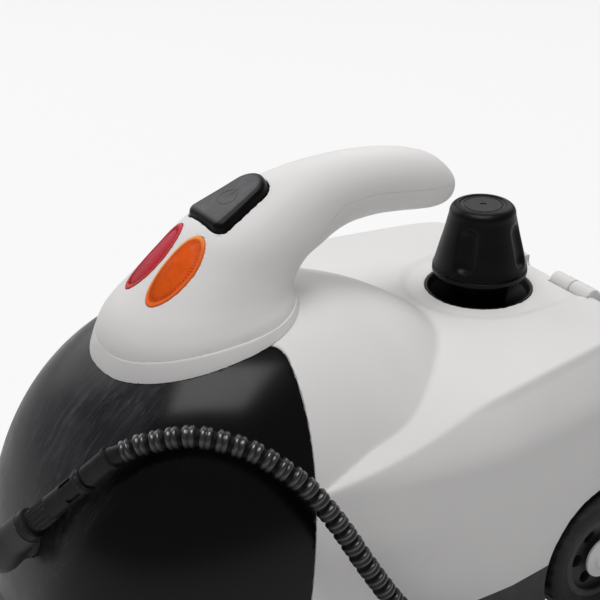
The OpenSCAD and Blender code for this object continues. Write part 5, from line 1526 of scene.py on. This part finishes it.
class MakeWheels(Maker):
    """Makes the rear wheels, tyres, hub caps and the front caster's roller"""

    bl_idname = "steamer.wheels"
    bl_label = "Wheels"

    def make(self, context):
        cap = [(AXLE_HOLE_R, 8), (13, 8), (13, 10), (7.6, 10.4), (7, 12), (0, 12), (0, 9.5),
               (AXLE_HOLE_R, 9.5)]
        for side, word in ((1, "left"), (-1, "right")):
            body, centre, out = word + "_wheel", (side * WHEEL_X, WHEEL_Y, WHEEL_Z), (side, 0, 0)
            tyre = turned(f"tyre_{word}_tread", tyre_profile(), centre, out, 420, 50.0, tyre_wave)
            place(tyre, body, "tyre_rubber", "tyre_" + word)
            across = sorted((side * (WELL_X - 1), side * (WHEEL_X + 10)))
            low, high = ((x, WHEEL_Y + d, WHEEL_Z + d) for x, d in zip(across, (-29, 29)))
            form("rim_" + word, wheel_disc(side), low, high, 1.0, body, "charcoal_plastic", "wheel_" + word)
            lathe("hub_" + word, cap, 0.6, centre, out, 64, body, "white_plastic", "hub_cap_" + word)
        half = [(2.56, -6.5), (5, -6.5), (5, -4.6), (13, -4.6), (13, -6.5), (16, -6.5), (17, -5.2)]
        lathe("caster_roller_disc", half + [(r, -w) for r, w in half[::-1]], 0.5,
              (0, CASTER_Y + 12, 17 - DECK[2]), (1, 0, 0), 80, "caster_roller", "charcoal_plastic",
              "caster_wheel")


class MakeGun(Maker):
    """Makes the steam gun and the holder it hangs in"""

    bl_idname = "steamer.gun"
    bl_label = "Steam gun"

    def make(self, context):
        low, high = GUN + (-62, -19, -90), GUN + (80, 19, 19)
        for side, word in ((1, "rear"), (-1, "front")):
            form("gun_body_" + word, gun_half(side), low, high, 1.2, "root", "gun_black",
                 "gun_shell_" + word)
        form("gun_lever", trigger, GUN + (16, -7, -61), GUN + (32, 7, -6), 0.7, "trigger", "gun_grey",
             "gun_trigger")
        form("gun_rack", holder, (-56, 40, -92), (56, 110, 6), 1.2, "root", "white_plastic", "gun_holder")
        nozzle = [(4, -95), (8, -95), (9, -93.5), (9, -84), (8.4, -83), (8.4, -81), (9, -80), (9, -66),
                  (13, -66), (13, -60), (9, -60), (9, -57), (11.5, -57), (11.5, -48), (4, -48)]
        lathe("gun_spout", nozzle, 0.5, GUN, (1, 0, 0), 80, "root", "charcoal_plastic", "gun_nozzle")
        inlet = [(3, 63), (11, 63), (11, 70.5), (8, 70.5), (8, 75), (10, 75), (10, 80), (8, 80.6), (8, 83),
                 (7.4, 83.5), (7.4, 85), (8, 85.5), (8, 92), (3, 92)]
        lathe("gun_tail", inlet, 0.4, GUN, (1, 0, 0), 72, "root", "charcoal_plastic", "gun_inlet")


class MakeOutlet(Maker):
    """Makes the hose's socket, elbow and cuffs at the front"""

    bl_idname = "steamer.outlet"
    bl_label = "Hose outlet"

    def make(self, context):
        socket = [(3, -309), (9, -309), (9, -290), (13, -290), (13, -286), (3, -286)]
        lathe("outlet_socket", socket, 0.5, (SOCKET_X, 0, SOCKET_Z), (0, 1, 0), 64, "root",
              "charcoal_plastic", "hose_socket")
        middle = ELBOW - DECK
        form("outlet_elbow", elbow_shape, middle - 14, middle + (20, 20, 24), 0.9, "root",
             "charcoal_plastic", "hose_elbow")
        for name, shape, start, end, node in (
                ("swivel_cuff", cuff_shape, ELBOW_OUT, CUFF_END, "hose_cuff"),
                ("hose_end", sleeve_shape, CUFF_END, SLEEVE_END + 3, "hose_sleeve")):
            a, b = middle + HOSE_DIR * start, middle + HOSE_DIR * end
            low, high = np.minimum(a, b) - 9.5, np.maximum(a, b) + 9.5
            cuff = form(name, shape, low, high, 0.55, "root", "soft_black", node)
            point_mark(cuff, "crown", np.full(len(cuff.data.vertices), 0.17))


class FinishRest(Maker):
    """Gives every remaining piece of the frame its slot's finish"""

    bl_idname = "steamer.rest"
    bl_label = "Inner pieces"

    def make(self, context):
        for part in frame["record"]["subparts"]:
            piece = frame["nodes"][part["node"]]
            material = finish(part["material_slot"])
            if not piece.material_slots:
                piece.data.materials.append(material)
            for slot in piece.material_slots:
                slot.material = material


class MakeStage(Maker):
    """Makes the floor, the even light and the lamps"""

    bl_idname = "steamer.stage"
    bl_label = "Stage"

    def lamp(self, context, name, place_at, aim_at, size, power):
        data = bpy.data.lights.new(name, "AREA")
        data.shape, data.size, data.size_y, data.energy = "RECTANGLE", size[0], size[1], power
        lamp = bpy.data.objects.new(name, data)
        lamp.location = place_at
        lamp.rotation_mode = "QUATERNION"
        lamp.rotation_quaternion = (Vector(aim_at) - Vector(place_at)).to_track_quat("-Z", "Y")
        context.scene.collection.objects.link(lamp)

    def make(self, context):
        scene = context.scene
        reach = sizes().floor_reach
        mesh = bpy.data.meshes.new("floor")
        corners = [(reach * x, reach * y, 0) for x, y in ((-1, -1), (1, -1), (1, 1), (-1, 1))]
        mesh.from_pydata(corners, [], [(0, 1, 2, 3)])
        floor = bpy.data.objects.new("floor", mesh)
        scene.collection.objects.link(floor)
        floor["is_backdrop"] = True
        f = Finish("floor_paper", Specular_IOR_Level=0.1)
        paper = f.noise(900.0, 3.0, 0.6)
        mesh.materials.append(f.done(
            f.tint(0.2 * paper, colour_of("floor"), mixed(colour_of("floor"), 0.96)), 0.9, paper, 0.00003))
        glow = f.node("ShaderNodeEmission", {}, {"Color": (1.0, 1.0, 1.0, 1), "Strength": FLOOR_GLOW})
        seen, shine, through = (f.node("ShaderNodeLightPath", out=f"Is {word} Ray")
                                for word in ("Camera", "Glossy", "Transmission"))
        share = (0.9 * seen + 0.4 * shine + 0.4 * through).least(0.9)
        f.feed("Surface", f.node("ShaderNodeMixShader", {}, {0: share, 1: f.shader, 2: glow}), f.output)

        world = bpy.data.worlds.new("studio")
        w = Nodes(world)
        even = w.node("ShaderNodeBackground", {}, {"Color": (0.98, 0.985, 1.0, 1), "Strength": sizes().sky})
        white = w.node("ShaderNodeBackground", {}, {"Color": (0.95, 0.95, 0.95, 1), "Strength": 1.0})
        seen = w.node("ShaderNodeLightPath", out="Is Camera Ray")
        w.node("ShaderNodeOutputWorld", {}, {
            "Surface": w.node("ShaderNodeMixShader", {}, {0: seen, 1: even, 2: white})})
        scene.world = world

        middle = (0.0, 0.0, 0.18)
        self.lamp(context, "overhead", (0.14, -0.12, 1.45), middle, (0.95, 0.68), sizes().key_power)
        self.lamp(context, "window", (-1.25, -0.15, 0.80), middle, (1.2, 1.1), sizes().fill_power)
        self.lamp(context, "behind", (-0.75, 1.05, 0.95), middle, (1.0, 0.8), sizes().back_power)
        scene.view_settings.view_transform = "Standard"


MAKERS = (MakeCamera, MakeHose, MakeCasing, MakeHood, MakeHandle, MakeControls, MakeCap, MakeBase, MakeWheels,
          MakeGun, MakeOutlet, FinishRest, MakeStage)


class SteamerPanel(bpy.types.Panel):
    """Lists the colours, sizes and makers"""

    bl_idname = "VIEW3D_PT_steamer"
    bl_label = "Wallpaper steamer"
    bl_space_type = "VIEW_3D"
    bl_region_type = "UI"
    bl_category = "Steamer"

    def draw(self, context):
        for group in (context.scene.steamer_colours, context.scene.steamer_sizes):
            column = self.layout.column()
            for name in type(group).__annotations__:
                column.prop(group, name)
        for maker in MAKERS:
            self.layout.operator(maker.bl_idname)


CLASSES = (SteamerColours, SteamerSizes) + MAKERS + (SteamerPanel,)


def register():
    for made in CLASSES:
        bpy.utils.register_class(made)
    bpy.types.Scene.steamer_colours = bpy.props.PointerProperty(type=SteamerColours)
    bpy.types.Scene.steamer_sizes = bpy.props.PointerProperty(type=SteamerSizes)


def unregister():
    del bpy.types.Scene.steamer_sizes
    del bpy.types.Scene.steamer_colours
    for made in reversed(CLASSES):
        bpy.utils.unregister_class(made)


def main():
    register()
    for maker in MAKERS:
        group, name = maker.bl_idname.split(".")
        getattr(getattr(bpy.ops, group), name)()
    {"cad": CAD_BOX, "visual": [list(corner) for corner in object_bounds()]}


if __name__ == "__main__":
    main()
